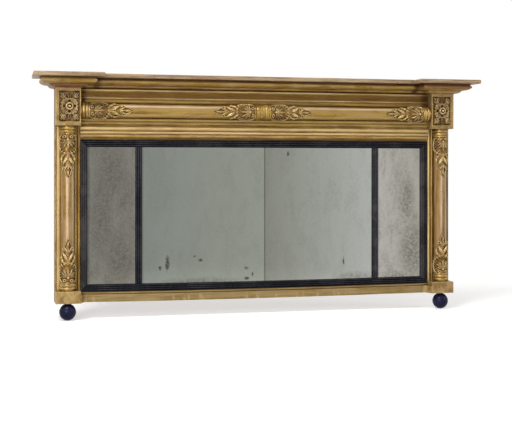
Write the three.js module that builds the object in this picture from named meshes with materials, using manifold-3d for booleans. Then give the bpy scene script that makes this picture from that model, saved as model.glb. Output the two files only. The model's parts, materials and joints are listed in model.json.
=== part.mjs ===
// A giltwood and ebonised overmantel mirror with a breakfront cornice, in millimetres.
// X runs along the frame, +Z up, the wall is the plane y = 0 and the front faces -Y.
// Heights are measured from the underside of the ball feet; the last lines move the
// origin to the middle of the top rail's back face, where the frame bears on the wall.

import * as THREE from "three";
import { mergeVertices } from "three/addons/utils/BufferGeometryUtils.js";
import Module from "manifold-3d";

const wasm = await Module();
wasm.setup();

// ---------------------------------------------------------------- driving dimensions

const seat = 0.3; // gap between two pieces that are glued or pinned together

// sight opening and the plates
const sightWidth = 1110;
const sightHeight = 428.5;
const glassThickness = 4;
const glassLap = 10; // how far the plates run behind the slip
const glassClearance = 2; // play round the plates in the carcase
const plateJointX = 15; // the middle division is two plates that meet here
const barX = 394; // centre of each glazing bar
const barWidth = 20.5;

// ebonised slip
const slipWidth = 22;
const slipLip = 5; // thickness at the sight edge
const slipRake = 2; // each reed stands this much higher than the one inside it
const reedRadius = 3;

// carcase
const carcaseDepth = 36;
const backRebateDepth = 10;
const backRebateWidth = 9;
const boardThickness = 9;
const filletHeight = 8;

// corner and base blocks
const blockWidth = 77.5;
const blockFront = 85; // from the wall to the face of the blocks
const footDiameter = 52;
const footFlat = 8; // across the small flat that each ball stands on
const footNeckRadius = 8;
const dowelRadius = 6;
const dowelLength = 22;
const dowelClearance = 0.4;
const baseHeight = 38;
const baseBottom = 53; // height of the underside of the base blocks
const railFaceHeight = 32; // from the foot of the base rail to the slip
const lowerFriezeHeight = 43; // from the slip to the foot of the corner blocks
const blockHeight = 116;
const panelDepth = 10;
const panelInnerMargin = 4.6; // the sunken panel is nearer to the glass than to the outside
const panelOuterMargin = 11.4;
const panelFootMargin = 13;
const panelHeadMargin = 10;

// columns
const columnRadius = 20.5;
const columnAxisDepth = 61.5; // from the wall to the axis
const columnFlat = 14.5; // from the axis back to the glued flat
const columnOffset = 0.75; // the axis stands this much outside the middle of the block
const collarLength = 28.5;
const ornamentLength = 132;
const ornamentCup = 56; // length of the cup, the rest is the leafy tail
const ornamentRelief = 8.5;
const centreCollarLength = 56;
const friezeAxisRise = 47.5; // from the foot of the corner blocks to the frieze column's axis

// cornice
const bedHeight = 31.5;
const slabThickness = 12.5;
const slabOverhang = 68;

// base rail
const railProjection = 15;
const coveWidth = 20;

// hangers
const hangerDrop = 148; // from the top of the cornice mouldings to the rings' hinge line
const hangerInset = 42.5; // from the side of the frame to the middle of each ring
const strapWidth = 20;
const strapLength = 42;
const strapThickness = 1.6;
const knuckleWidth = 9;
const ringWire = 1.6; // radius
const ringRadius = 15;
const ringCorner = 5;
const ringBarHalf = 10;
const knuckleBore = 2.1;
const knuckleWall = 1.6;
const ringStandOff = 4.8; // hinge line behind the carcase

// fineness of the round work
const arcSteps = 6;
const turnedSegments = 20;
const memberSteps = 3;
const reliefRows = 14;
const reliefColumns = 8;
const ringSteps = 32;

// ---------------------------------------------------------------- places worked out from them

const sightBottom = baseBottom + railFaceHeight + slipWidth;
const sightTop = sightBottom + sightHeight;
const slipOuterX = sightWidth / 2 + slipWidth;
const slipOuterBottom = sightBottom - slipWidth;
const slipOuterTop = sightTop + slipWidth;
const blockInnerX = slipOuterX;
const blockOuterX = blockInnerX + blockWidth;
const blockMiddleX = (blockInnerX + blockOuterX) / 2;
const columnX = blockMiddleX + columnOffset;
const baseTop = baseBottom + baseHeight;
const blockBottom = slipOuterTop + lowerFriezeHeight;
const friezeAxisHeight = blockBottom + friezeAxisRise;
const blockTop = blockBottom + blockHeight;
const corniceTop = blockTop + bedHeight;
const carcaseTop = corniceTop - seat;
const openingX = sightWidth / 2 + glassLap + glassClearance;
const openingBottom = sightBottom - glassLap - glassClearance;
const openingTop = sightTop + glassLap + glassClearance;
const panelWidth = blockWidth - panelInnerMargin - panelOuterMargin;
const panelHeight = blockHeight - panelFootMargin - panelHeadMargin;
const panelX = blockInnerX + panelInnerMargin + panelWidth / 2;
const panelZ = blockBottom + panelFootMargin;
const seatDepth = columnAxisDepth - columnFlat; // glued flat of the columns
const originHeight = (openingTop + carcaseTop) / 2;
const hangerHeight = corniceTop - hangerDrop;
const hangerX = blockOuterX - hangerInset;

// ---------------------------------------------------------------- finishes

function finish(color, roughness, metalness) {
  return new THREE.MeshStandardMaterial({ color, roughness, metalness });
}

const gilding = finish(0xb08d4a, 0.42, 0.6);
const wornGilding = finish(0x9c7742, 0.5, 0.4);
const ebonised = finish(0x202126, 0.35, 0.0);
const pine = finish(0xa98157, 0.8, 0.0);
const silvering = finish(0x8d938b, 0.08, 1.0);
const brass = finish(0xa8823f, 0.35, 0.9);

// ---------------------------------------------------------------- solids and geometry

function toSolid(geometry) {
  const bare = geometry.clone();
  bare.deleteAttribute("normal");
  bare.deleteAttribute("uv");
  const merged = mergeVertices(bare, 1e-4);
  return new wasm.Manifold(
    new wasm.Mesh({
      numProp: 3,
      vertProperties: new Float32Array(merged.attributes.position.array),
      triVerts: new Uint32Array(merged.index.array),
    })
  );
}

function toGeometry(solid) {
  const mesh = solid.getMesh();
  const geometry = new THREE.BufferGeometry();
  geometry.setAttribute("position", new THREE.BufferAttribute(mesh.vertProperties, 3));
  geometry.setIndex(new THREE.BufferAttribute(mesh.triVerts, 1));
  geometry.computeVertexNormals();
  return geometry;
}

function cut(geometry, ...tools) {
  let solid = toSolid(geometry);
  for (const tool of tools) {
    solid = solid.subtract(toSolid(tool));
  }
  return toGeometry(solid);
}

function join(geometry, ...others) {
  let solid = toSolid(geometry);
  for (const other of others) {
    solid = solid.add(toSolid(other));
  }
  return toGeometry(solid);
}

// a box between two corners
function block([x0, x1], [y0, y1], [z0, z1]) {
  const geometry = new THREE.BoxGeometry(x1 - x0, y1 - y0, z1 - z0);
  return geometry.translate((x0 + x1) / 2, (y0 + y1) / 2, (z0 + z1) / 2);
}

// the same from depths in front of the wall, which count towards -Y
function depthBlock(xs, [back, front], zs) {
  return block(xs, [-front, -back], zs);
}

// lofts a closed outline through a list of stations; each station maps (u, v) to a point
function loft(outline, stations) {
  const positions = [];
  for (const place of stations) {
    for (const point of outline) {
      positions.push(...place(point.x, point.y).toArray());
    }
  }
  const count = outline.length;
  const index = [];
  for (let s = 0; s + 1 < stations.length; s += 1) {
    for (let i = 0; i < count; i += 1) {
      const a = s * count + i;
      const b = s * count + ((i + 1) % count);
      index.push(a, b, b + count, a, b + count, a + count);
    }
  }
  const last = (stations.length - 1) * count;
  for (const [a, b, c] of THREE.ShapeUtils.triangulateShape(outline, [])) {
    index.push(a, c, b, last + a, last + b, last + c);
  }
  return facingOut(positions, index);
}

// turns every face round when the enclosed volume comes out negative
function facingOut(positions, index) {
  const corner = (i) => new THREE.Vector3().fromArray(positions, 3 * i);
  let volume = 0;
  for (let t = 0; t < index.length; t += 3) {
    const [a, b, c] = [corner(index[t]), corner(index[t + 1]), corner(index[t + 2])];
    volume += a.dot(b.cross(c));
  }
  if (volume < 0) {
    index.reverse();
  }
  const geometry = new THREE.BufferGeometry();
  geometry.setAttribute("position", new THREE.Float32BufferAttribute(positions, 3));
  geometry.setIndex(index);
  geometry.computeVertexNormals();
  return geometry;
}

// a moulding outline: straight points and round stretches, u outwards and v along the face
function outline(...stretches) {
  const points = stretches.flat();
  return points.filter((point, i) => {
    const before = points[(i + points.length - 1) % points.length];
    return point.distanceTo(before) > 1e-3;
  });
}

const at = (u, v) => new THREE.Vector2(u, v);

// a round stretch about a centre, angles in degrees
function round(u, v, radiusU, radiusV, from, to, steps = arcSteps) {
  const points = [];
  for (let i = 0; i <= steps; i += 1) {
    const angle = THREE.MathUtils.degToRad(from + ((to - from) * i) / steps);
    points.push(at(u + radiusU * Math.cos(angle), v + radiusV * Math.sin(angle)));
  }
  return points;
}

// a straight run along X: u is the depth in front of a plane, v is the height above a line
function runAlongX(shape, x0, x1, depth, height) {
  const station = (x) => (u, v) => new THREE.Vector3(x, -depth - u, height + v);
  return loft(shape, [station(x0), station(x1)]);
}

// a straight run up Z at one side: u is the depth, v goes from the glass outwards
function runUpZ(shape, z0, z1, depth, startX, side) {
  const station = (z) => (u, v) => new THREE.Vector3(side * (startX + v), -depth - u, z);
  return loft(shape, [station(z0), station(z1)]);
}

// mirror image of a geometry in the plane x = 0
function mirrored(geometry) {
  const positions = Array.from(geometry.attributes.position.array);
  for (let i = 0; i < positions.length; i += 3) {
    positions[i] = -positions[i];
  }
  return facingOut(positions, Array.from(geometry.index.array));
}

// ---------------------------------------------------------------- the frame as a scene

const mirrorFrame = new THREE.Group();
mirrorFrame.position.z = -originHeight;

function add(name, geometry, material) {
  const mesh = new THREE.Mesh(geometry, material);
  mesh.name = name;
  mirrorFrame.add(mesh);
  return mesh;
}

// adds a right-hand piece and its mirror image
function addPair(name, rightGeometry, material) {
  add(`${name}_left`, mirrored(rightGeometry), material);
  add(`${name}_right`, rightGeometry, material);
}

// ---------------------------------------------------------------- carcase

// stiles run the full height behind, rails run the full width in front: halved corners
const lap = carcaseDepth / 2;
const bare = [0, carcaseDepth];
const frontHalf = [lap - seat / 2, carcaseDepth + 1];
const backHalf = [-1, lap + seat / 2];
const rebateX = openingX + backRebateWidth;
const rebateBottom = openingBottom - backRebateWidth;
const rebateTop = openingTop + backRebateWidth;
const rebateTool = depthBlock([-rebateX, rebateX], [-1, backRebateDepth], [rebateBottom, rebateTop]);

const stile = cut(
  depthBlock([openingX, blockOuterX], bare, [baseBottom, carcaseTop]),
  depthBlock([openingX - 1, blockOuterX + 1], frontHalf, [baseBottom - 1, openingBottom + seat]),
  depthBlock([openingX - 1, blockOuterX + 1], frontHalf, [openingTop - seat, carcaseTop + 1]),
  rebateTool
);
addPair("carcase_stile", stile, pine);

function carcaseRail(z0, z1) {
  const stileEdge = openingX - seat;
  return cut(
    depthBlock([-blockOuterX, blockOuterX], bare, [z0, z1]),
    depthBlock([stileEdge, blockOuterX + 1], backHalf, [z0 - 1, z1 + 1]),
    depthBlock([-blockOuterX - 1, -stileEdge], backHalf, [z0 - 1, z1 + 1]),
    rebateTool
  );
}

add("carcase_rail_bottom", carcaseRail(baseBottom, openingBottom), pine);
add("carcase_rail_top", carcaseRail(openingTop, carcaseTop), pine);

// ---------------------------------------------------------------- plates and what holds them

const glassFront = carcaseDepth - seat;
const glassBack = glassFront - glassThickness;
const glassX = openingX - glassClearance;
const glassZ = [openingBottom + glassClearance, openingTop - glassClearance];
const plates = [
  ["glass_left", -glassX, -barX - seat / 2],
  ["glass_centre_left", -barX + seat / 2, plateJointX - seat / 2],
  ["glass_centre_right", plateJointX + seat / 2, barX - seat / 2],
  ["glass_right", barX + seat / 2, glassX],
];
for (const [name, x0, x1] of plates) {
  add(name, depthBlock([x0, x1], [glassBack, glassFront], glassZ), silvering);
}

// fillets glued into the carcase behind the upper and lower edges of the plates
const filletDepths = [backRebateDepth + seat, glassBack - seat];
const filletX = [-openingX + seat, openingX - seat];
const lowFillet = [openingBottom + seat, openingBottom + filletHeight];
const highFillet = [openingTop - filletHeight, openingTop - seat];
add("glass_fillet_bottom", depthBlock(filletX, filletDepths, lowFillet), pine);
add("glass_fillet_top", depthBlock(filletX, filletDepths, highFillet), pine);

// three boards butted side by side in the back rebate
const boardDepths = [backRebateDepth - seat - boardThickness, backRebateDepth - seat];
const boardZ = [rebateBottom + seat, rebateTop - seat];
const boardSpan = 2 * (rebateX - seat);
const boardNames = ["left", "centre", "right"];
boardNames.forEach((place, i) => {
  const x0 = -boardSpan / 2 + (i * boardSpan) / boardNames.length + seat / 2;
  const x1 = -boardSpan / 2 + ((i + 1) * boardSpan) / boardNames.length - seat / 2;
  add(`backboard_${place}`, depthBlock([x0, x1], boardDepths, boardZ), pine);
});

// ---------------------------------------------------------------- ebonised slip and bars

// three raking reeds between a lip at the sight edge and a fillet at the outside
const reedMargin = (slipWidth - 6 * reedRadius) / 2;
function reed(count, margin, base, rake) {
  const points = [];
  for (let i = 0; i < count; i += 1) {
    const across = margin + reedRadius * (2 * i + 1);
    points.push(...round(base + i * rake, across, reedRadius, reedRadius, -90, 90));
  }
  return points;
}
const slipShape = outline(
  [at(0, 0), at(slipLip, 0), at(slipLip, reedMargin)],
  reed(3, reedMargin, slipLip, slipRake),
  [at(slipLip + 2 * slipRake - 1, slipWidth - reedMargin), at(slipLip + 2 * slipRake - 1, slipWidth)],
  [at(0, slipWidth)]
);

// one mitred length along the lower or upper edge, then one up the side
function slipAcross(edge, direction) {
  const end = (side) => (u, v) => {
    const mitre = side * (sightWidth / 2 + v - seat / 2);
    return new THREE.Vector3(mitre, -carcaseDepth - u, edge + direction * v);
  };
  return loft(slipShape, [end(-1), end(1)]);
}
const slipSide = loft(slipShape, [
  (u, v) => new THREE.Vector3(sightWidth / 2 + v, -carcaseDepth - u, sightBottom - v + seat / 2),
  (u, v) => new THREE.Vector3(sightWidth / 2 + v, -carcaseDepth - u, sightTop + v - seat / 2),
]);
add("slip_bottom", slipAcross(sightBottom, -1), ebonised);
add("slip_top", slipAcross(sightTop, 1), ebonised);
addPair("slip", slipSide, ebonised);

const barMargin = (barWidth - 6 * reedRadius) / 2;
const barBase = slipLip - 1;
const barShape = outline(
  [at(0, 0), at(barBase, 0), at(barBase, barMargin)],
  reed(3, barMargin, barBase, 0),
  [at(barBase, barWidth - barMargin), at(barBase, barWidth), at(0, barWidth)]
);
const barRun = [sightBottom + seat, sightTop - seat];
addPair("glazing_bar", runUpZ(barShape, ...barRun, carcaseDepth, barX - barWidth / 2, 1), ebonised);

// ---------------------------------------------------------------- pilasters and columns

// small and large bead next to the slip, seat for the column, hollow, step and outer fillet
const beadRadius = 4;
const beadFoot = 11;
const smallBeadFoot = 11.5;
const beadGap = 0.5; // from the bead to the side of the column
const quirkDepth = 8;
const seatHalf = Math.sqrt(columnRadius ** 2 - columnFlat ** 2);
const seatRise = seatDepth - carcaseDepth - seat;
const axisV = columnX - blockInnerX;
const beadMiddle = axisV - columnRadius - beadGap - beadRadius;
const beadRoom = beadMiddle - beadRadius; // shared by the small bead and the quirk after it
const smallBeadEnd = 0.71 * beadRoom;
const smallBeadRadius = 0.42 * smallBeadEnd;
const hollowStart = axisV + columnRadius + 1.5;
const outerEdge = 3;
const outerFillet = 4;
const outerStep = 3;
const hollowWidth = blockWidth - outerFillet - hollowStart;
const pilasterShape = outline(
  [at(0, 0), at(smallBeadFoot - 1, 0)],
  round(smallBeadFoot, smallBeadEnd - smallBeadRadius, smallBeadRadius, smallBeadRadius, -90, 90),
  [at(quirkDepth, smallBeadEnd + 0.5), at(quirkDepth, beadRoom)],
  round(beadFoot, beadMiddle, beadRadius, beadRadius, -90, 90),
  [at(quirkDepth, beadMiddle + beadRadius), at(quirkDepth, axisV - seatHalf)],
  [at(seatRise, axisV - seatHalf), at(seatRise, axisV + seatHalf), at(quirkDepth, axisV + seatHalf)],
  [at(quirkDepth, hollowStart)],
  round(quirkDepth + 2, blockWidth - outerFillet, quirkDepth + 2 - outerEdge, hollowWidth, -90, -180),
  [at(outerEdge + outerStep, blockWidth - outerFillet), at(outerEdge + outerStep, blockWidth)],
  [at(0, blockWidth)]
);
const pilasterRun = [baseTop + seat, blockBottom - seat];
addPair("pilaster", runUpZ(pilasterShape, ...pilasterRun, carcaseDepth, blockInnerX, 1), wornGilding);

// section of a column about its own axis: round in front, flat behind
const flatAngle = THREE.MathUtils.radToDeg(Math.acos(-columnFlat / columnRadius));
const columnShape = outline(round(0, 0, columnRadius, columnRadius, -flatAngle, flatAngle, 20));
const columnStation = (z) => (u, v) => new THREE.Vector3(columnX + v, -columnAxisDepth - u, z);
const column = loft(columnShape, [columnStation(baseTop + seat), columnStation(blockBottom - seat)]);
addPair("column", column, wornGilding);

// the frieze column has a tongue that goes back between the mouldings to the carcase
const tongueInset = 7.5; // the tongue is this much thinner than the column on either side
const tongueHalf = columnRadius - tongueInset;
const tongueAngle = 180 - THREE.MathUtils.radToDeg(Math.asin(tongueHalf / columnRadius));
const tongueBack = columnAxisDepth - carcaseDepth - seat;
const friezeShape = outline(
  round(0, 0, columnRadius, columnRadius, -tongueAngle, tongueAngle, 22),
  [at(-tongueBack, tongueHalf), at(-tongueBack, -tongueHalf)]
);
const friezeEnd = blockInnerX - seat;
const friezeStation = (x) => (u, v) =>
  new THREE.Vector3(x, -columnAxisDepth - u, friezeAxisHeight + v);
add("frieze_column", loft(friezeShape, [friezeStation(-friezeEnd), friezeStation(friezeEnd)]), wornGilding);

// ---------------------------------------------------------------- collars

// turned members as [radius over the column, length], from the block towards the shaft
const collarInside = columnRadius + seat;
const collarBore = collarInside / Math.cos(Math.PI / turnedSegments); // clear of the facets
const collarMembers = {
  neck: [1.5, 3.5],
  ring: [5, 9],
  torus: [4.2, 9.5],
  bead: [3, 5],
};

// a half-round ring of members along +Z, cut flat behind so that it clears the pilaster
const collarCutDepth = 4; // behind the axis
function collar(members, length) {
  const profile = [at(collarBore, 0)];
  const total = members.reduce((sum, name) => sum + collarMembers[name][1], 0);
  let z = 0;
  for (const name of members) {
    const [rise, run] = collarMembers[name];
    const span = (run * length) / total;
    const foot = collarInside + rise * 0.45;
    profile.push(at(foot, z));
    for (let i = 1; i <= memberSteps; i += 1) {
      const turn = (Math.PI * i) / (memberSteps + 1);
      profile.push(at(foot + rise * 0.55 * Math.sin(turn), z + (span * (1 - Math.cos(turn))) / 2));
    }
    profile.push(at(foot, z + span));
    z += span;
  }
  profile.push(at(collarBore, z), at(collarBore, 0));
  const ring = new THREE.LatheGeometry(profile, turnedSegments).rotateX(Math.PI / 2);
  const reach = 2 * columnRadius;
  return cut(ring, block([-reach, reach], [collarCutDepth, reach], [-1, z + 1]));
}

// places a piece made about +Z on a column: start height and way it points
function onColumn(geometry, z, up) {
  const placed = geometry.clone();
  if (!up) {
    placed.rotateY(Math.PI);
  }
  return placed.translate(columnX, -columnAxisDepth, z);
}

// lays a piece made about +Z along the frieze: start and way it points
function onFrieze(geometry, x, towards) {
  const placed = geometry.clone().rotateY((towards * Math.PI) / 2);
  return placed.translate(x, -columnAxisDepth, friezeAxisHeight);
}

const endCollar = collar(["neck", "ring", "torus", "bead"], collarLength - seat);
const centreCollar = collar(
  ["bead", "torus", "bead", "bead", "torus", "bead"],
  centreCollarLength
);
addPair("column_collar_bottom", onColumn(endCollar, baseTop + seat, true), gilding);
addPair("column_collar_top", onColumn(endCollar, blockBottom - seat, false), gilding);
addPair("frieze_collar", onFrieze(endCollar, friezeEnd, -1), gilding);
add("frieze_collar_centre", onFrieze(centreCollar, -centreCollarLength / 2, 1), gilding);

// ---------------------------------------------------------------- leaf ornaments

// height of the relief over the shaft at s along the casting and angle a from its middle:
// a cup of seven ribs that swells and rolls over, then paired leaves closing to a bud
function leafRelief(s, a) {
  if (s < ornamentCup) {
    const t = s / ornamentCup;
    const swell = 0.45 + 0.55 * Math.sin(Math.PI * Math.min(1, 0.15 + t));
    const ribs = 0.86 + 0.14 * Math.cos(7 * a);
    return ornamentRelief * swell * ribs;
  }
  const t = (s - ornamentCup) / (ornamentLength - ornamentCup);
  const leaves = 0.5 + 0.2 * Math.cos(3 * Math.PI * t);
  return ornamentRelief * leaves * (1 - 0.45 * t) * (0.8 + 0.2 * Math.cos(4 * a));
}

// half the angle that the casting covers at s
const widestSpread = 1.5;
function leafSpread(s) {
  if (s < ornamentCup) {
    const t = s / ornamentCup;
    return widestSpread - 0.35 * t * t;
  }
  const t = (s - ornamentCup) / (ornamentLength - ornamentCup);
  return 1.05 * Math.sqrt(1 - t) * (0.85 + 0.15 * Math.cos(2 * Math.PI * t)) + 0.06;
}

// a closed shell over the column: an outer carved sheet, an inner sheet on the shaft
const castingInside = (columnRadius + seat) / Math.cos(widestSpread / reliefColumns);
const castingEdge = 1.7; // thickness at its thin edges, over the nominal seat
function leafOrnament(length) {
  const positions = [];
  const index = [];
  const row = reliefColumns + 1;
  const sheet = (reliefRows + 1) * row;
  for (const outer of [true, false]) {
    for (let i = 0; i <= reliefRows; i += 1) {
      const s = (length * i) / reliefRows;
      const spread = leafSpread((s * ornamentLength) / length);
      for (let j = 0; j <= reliefColumns; j += 1) {
        const a = spread * ((2 * j) / reliefColumns - 1);
        const edge = Math.sqrt(Math.max(0, 1 - (a / spread) ** 2));
        const relief = leafRelief((s * ornamentLength) / length, a);
        const carved = columnRadius + castingEdge + relief * (0.35 + 0.65 * edge);
        const radius = outer ? carved : castingInside;
        positions.push(radius * Math.sin(a), -radius * Math.cos(a), s);
      }
    }
  }
  const quad = (a, b, c, d) => index.push(a, b, c, a, c, d);
  for (let i = 0; i < reliefRows; i += 1) {
    for (let j = 0; j < reliefColumns; j += 1) {
      const a = i * row + j;
      quad(a, a + 1, a + row + 1, a + row);
      quad(sheet + a, sheet + a + row, sheet + a + row + 1, sheet + a + 1);
    }
    const left = i * row;
    const right = left + reliefColumns;
    quad(left, left + row, sheet + left + row, sheet + left);
    quad(right, sheet + right, sheet + right + row, right + row);
  }
  const end = reliefRows * row;
  for (let j = 0; j < reliefColumns; j += 1) {
    quad(j, sheet + j, sheet + j + 1, j + 1);
    quad(end + j, end + j + 1, sheet + end + j + 1, sheet + end + j);
  }
  return facingOut(positions, index);
}

const ornament = leafOrnament(ornamentLength);
const lowOrnament = baseTop + collarLength + seat;
const highOrnament = blockBottom - collarLength - seat;
const endOrnament = blockInnerX - collarLength - seat;
const centreOrnament = centreCollarLength / 2 + seat;
addPair("column_ornament_bottom", onColumn(ornament, lowOrnament, true), gilding);
addPair("column_ornament_top", onColumn(ornament, highOrnament, false), gilding);
addPair("frieze_ornament_end", onFrieze(ornament, endOrnament, -1), gilding);
addPair("frieze_ornament_centre", onFrieze(ornament, centreOrnament, 1), gilding);

// ---------------------------------------------------------------- base

const baseDepths = [carcaseDepth + seat, blockFront];
const dowelBore = new THREE.CylinderGeometry(
  dowelRadius + dowelClearance,
  dowelRadius + dowelClearance,
  2 * (dowelLength + 1),
  16
);
dowelBore.rotateX(Math.PI / 2).translate(columnX, -columnAxisDepth, baseBottom);
const baseBlock = cut(depthBlock([blockInnerX, blockOuterX], baseDepths, [baseBottom, baseTop]), dowelBore);
addPair("base_block", baseBlock, gilding);

// ball with a small flat to stand on, short neck and dowel turned in one
const ballRadius = footDiameter / 2;
const ballMiddle = Math.sqrt(ballRadius ** 2 - (footFlat / 2) ** 2);
const flatStart = Math.PI - Math.asin(footFlat / 2 / ballRadius);
const neckStart = Math.asin(footNeckRadius / ballRadius);
const footProfile = [at(0, 0)];
const ballSteps = 10;
for (let i = 0; i <= ballSteps; i += 1) {
  const angle = flatStart - ((flatStart - neckStart) * i) / ballSteps;
  footProfile.push(at(ballRadius * Math.sin(angle), ballMiddle + ballRadius * Math.cos(angle)));
}
footProfile.push(
  at(footNeckRadius, baseBottom - seat),
  at(dowelRadius, baseBottom - seat),
  at(dowelRadius, baseBottom + dowelLength),
  at(0, baseBottom + dowelLength)
);
const foot = new THREE.LatheGeometry(footProfile, turnedSegments).rotateX(Math.PI / 2);
const footGeometry = toGeometry(toSolid(foot)).translate(columnX, -columnAxisDepth, 0);
addPair("ball_foot", footGeometry, ebonised);

// flat face, quirk and a thin bead, set back at the top in the shade of the slip
const railTop = slipOuterBottom - seat;
const railHeight = railTop - baseBottom;
const railStep = 23.5;
const railBead = 2.3;
const railBeadMiddle = railHeight - 3.5;
const railShape = outline(
  [at(0, 0), at(railProjection, 0), at(railProjection, railStep)],
  [at(railProjection - 3, railStep + 0.5), at(railProjection - 3, railBeadMiddle - railBead)],
  round(railProjection - 2, railBeadMiddle, railBead, railBead, -90, 90),
  [at(railProjection - 7, railBeadMiddle + railBead), at(railProjection - 7, railHeight), at(0, railHeight)]
);
const railEnd = blockInnerX - seat;
add("base_rail", runAlongX(railShape, -railEnd, railEnd, carcaseDepth + seat, baseBottom), gilding);

// hollow returns in the corners between rail and base blocks
const coveBack = carcaseDepth + railProjection + 2 * seat;
const coveDepth = blockFront - coveBack - 1;
const cove = new THREE.Shape();
cove.moveTo(0, 0);
cove.lineTo(0, -coveDepth);
cove.lineTo(-1.5, -coveDepth);
cove.absellipse(-coveWidth, -coveDepth, coveWidth - 1.5, coveDepth - 1.5, 0, Math.PI / 2, false);
cove.lineTo(-coveWidth, 0);
const coveGeometry = new THREE.ExtrudeGeometry(cove, {
  depth: railStep,
  bevelEnabled: false,
  curveSegments: 8,
});
coveGeometry.translate(blockInnerX - seat, -coveBack, baseBottom);
addPair("base_cove", toGeometry(toSolid(coveGeometry)), gilding);

// ---------------------------------------------------------------- corner blocks and rosettes

const cornerBlock = cut(
  depthBlock([blockInnerX, blockOuterX], baseDepths, [blockBottom, carcaseTop]),
  depthBlock(
    [panelX - panelWidth / 2, panelX + panelWidth / 2],
    [blockFront - panelDepth, blockFront + 1],
    [panelZ, panelZ + panelHeight]
  )
);
addPair("corner_block", cornerBlock, gilding);

// relief of the casting that fills the panel: x and z from its middle, height over its ground
const rosetteRadius = 26;
const rosetteHoles = 15; // from the middle to each drilled hole
const holeRadius = 1.8;
const rosetteRise = 25;
const rosettePlate = 3;
const leafRise = 13;
function rosetteRelief(x, z) {
  const r = Math.hypot(x, z);
  const turn = Math.atan2(z, x);
  const petal = 0.78 + 0.22 * Math.cos(4 * (turn - Math.PI / 4));
  const reach = rosetteRadius * petal;
  const dome = r < reach ? Math.sqrt(1 - (r / reach) ** 2) : 0;
  const cup = 1 - 0.35 * Math.exp(-(((r - 9) / 4) ** 2));
  const alongX = Math.abs(x) / (panelWidth / 2);
  const alongZ = Math.abs(z) / (panelHeight / 2);
  const leaf = Math.max(0, Math.min(alongX, alongZ) * 1.5 - 0.35) * (1.6 - Math.max(alongX, alongZ));
  return Math.max(rosetteRise * dome * cup, leafRise * Math.min(1, leaf));
}

function rosette() {
  const columns = 12;
  const rows = 18;
  const width = panelWidth - 2 * seat;
  const height = panelHeight - 2 * seat;
  const positions = [];
  const index = [];
  for (let i = 0; i <= rows; i += 1) {
    for (let j = 0; j <= columns; j += 1) {
      const x = (j / columns - 0.5) * width;
      const z = (i / rows - 0.5) * height;
      const rim = i === 0 || j === 0 || i === rows || j === columns;
      const relief = rim ? 0 : rosetteRelief(x, z);
      positions.push(x, -rosettePlate - relief, z);
    }
  }
  const row = columns + 1;
  for (let i = 0; i < rows; i += 1) {
    for (let j = 0; j < columns; j += 1) {
      const a = i * row + j;
      index.push(a, a + 1, a + row + 1, a, a + row + 1, a + row);
    }
  }
  const along = (count, pick) => Array.from({ length: count }, (_, k) => pick(k));
  const rim = [
    ...along(columns, (j) => j),
    ...along(rows, (i) => i * row + columns),
    ...along(columns, (j) => rows * row + columns - j),
    ...along(rows, (i) => (rows - i) * row),
  ];
  const back = positions.length / 3;
  for (const corner of rim) {
    positions.push(positions[3 * corner], 0, positions[3 * corner + 2]);
  }
  const middle = back + rim.length;
  positions.push(0, 0, 0);
  rim.forEach((corner, k) => {
    const next = (k + 1) % rim.length;
    index.push(corner, back + k, back + next, corner, back + next, rim[next]);
    index.push(middle, back + next, back + k);
  });
  const holes = [0, 1, 2, 3].map((quarter) => {
    const drill = new THREE.CylinderGeometry(holeRadius, holeRadius, rosetteRise, 8);
    const turn = (quarter * Math.PI) / 2;
    const [x, z] = [rosetteHoles * Math.cos(turn), rosetteHoles * Math.sin(turn)];
    return drill.translate(x, -rosettePlate - rosetteRise * 0.5 - 4, z);
  });
  return cut(facingOut(positions, index), ...holes);
}
const rosetteDepth = blockFront - panelDepth + seat;
const rosetteMiddle = panelZ + panelHeight / 2;
addPair("rosette", rosette().translate(panelX, -rosetteDepth, rosetteMiddle), gilding);

// ---------------------------------------------------------------- frieze mouldings

// both stand on the top rail; heights count from the foot of each piece
const friezeGround = carcaseDepth + seat;
const lowerFoot = slipOuterTop + seat;
const lowerHeight = friezeAxisHeight - tongueHalf - seat - lowerFoot;
const stackHeight = 70.4; // all the members over the sunk foot, which takes what is left
const lift = lowerHeight - stackHeight;
// from the foot: bead, bold bead, torus, quirk, two beads, and a fillet under the column
const lowerShape = outline(
  [at(0, 0), at(7, 0), at(7, lift)],
  round(9.5, lift + 6.2, 5, 5, -90, 90),
  [at(10.5, lift + 12)],
  round(13, lift + 16.7, 5, 4, -90, 90),
  [at(11, lift + 21.4)],
  round(11.5, lift + 29.9, 7.5, 7.8, -90, 90),
  [at(8, lift + 38.3), at(8, lift + 41)],
  round(9, lift + 46, 4.5, 4.8, -90, 90),
  [at(8, lift + 51.5)],
  round(8, lift + 57.2, 5, 5, -90, 90),
  [at(5, lift + 63.5), at(5, lowerHeight), at(0, lowerHeight)]
);
add(
  "frieze_lower_moulding",
  runAlongX(lowerShape, -friezeEnd, friezeEnd, friezeGround, lowerFoot),
  gilding
);

const upperFoot = friezeAxisHeight + tongueHalf + seat;
const upperHeight = blockTop - seat - upperFoot;
const upperMembers = 45.4; // all the members over the plain foot, which takes what is left
const foothold = upperHeight - upperMembers;
// over the column: torus, bead, tall hollow, fillet and a bold bead under the cornice
const upperShape = outline(
  [at(0, 0), at(5, 0), at(5, foothold)],
  round(9, foothold + 7, 4.5, 6, -90, 90),
  [at(9, foothold + 13.7)],
  round(10, foothold + 17.6, 4, 3.2, -90, 90),
  [at(9, foothold + 21.3)],
  round(17, foothold + 21.8, 8, 15.5, 180, 90),
  [at(18.5, foothold + 37.5), at(18.5, foothold + 38.6), at(17, foothold + 38.8)],
  round(18, foothold + 42, 3.2, 2.9, -90, 90),
  [at(17, upperHeight), at(0, upperHeight)]
);
add(
  "frieze_upper_moulding",
  runAlongX(upperShape, -friezeEnd, friezeEnd, friezeGround, upperFoot),
  gilding
);

// ---------------------------------------------------------------- cornice

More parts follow.
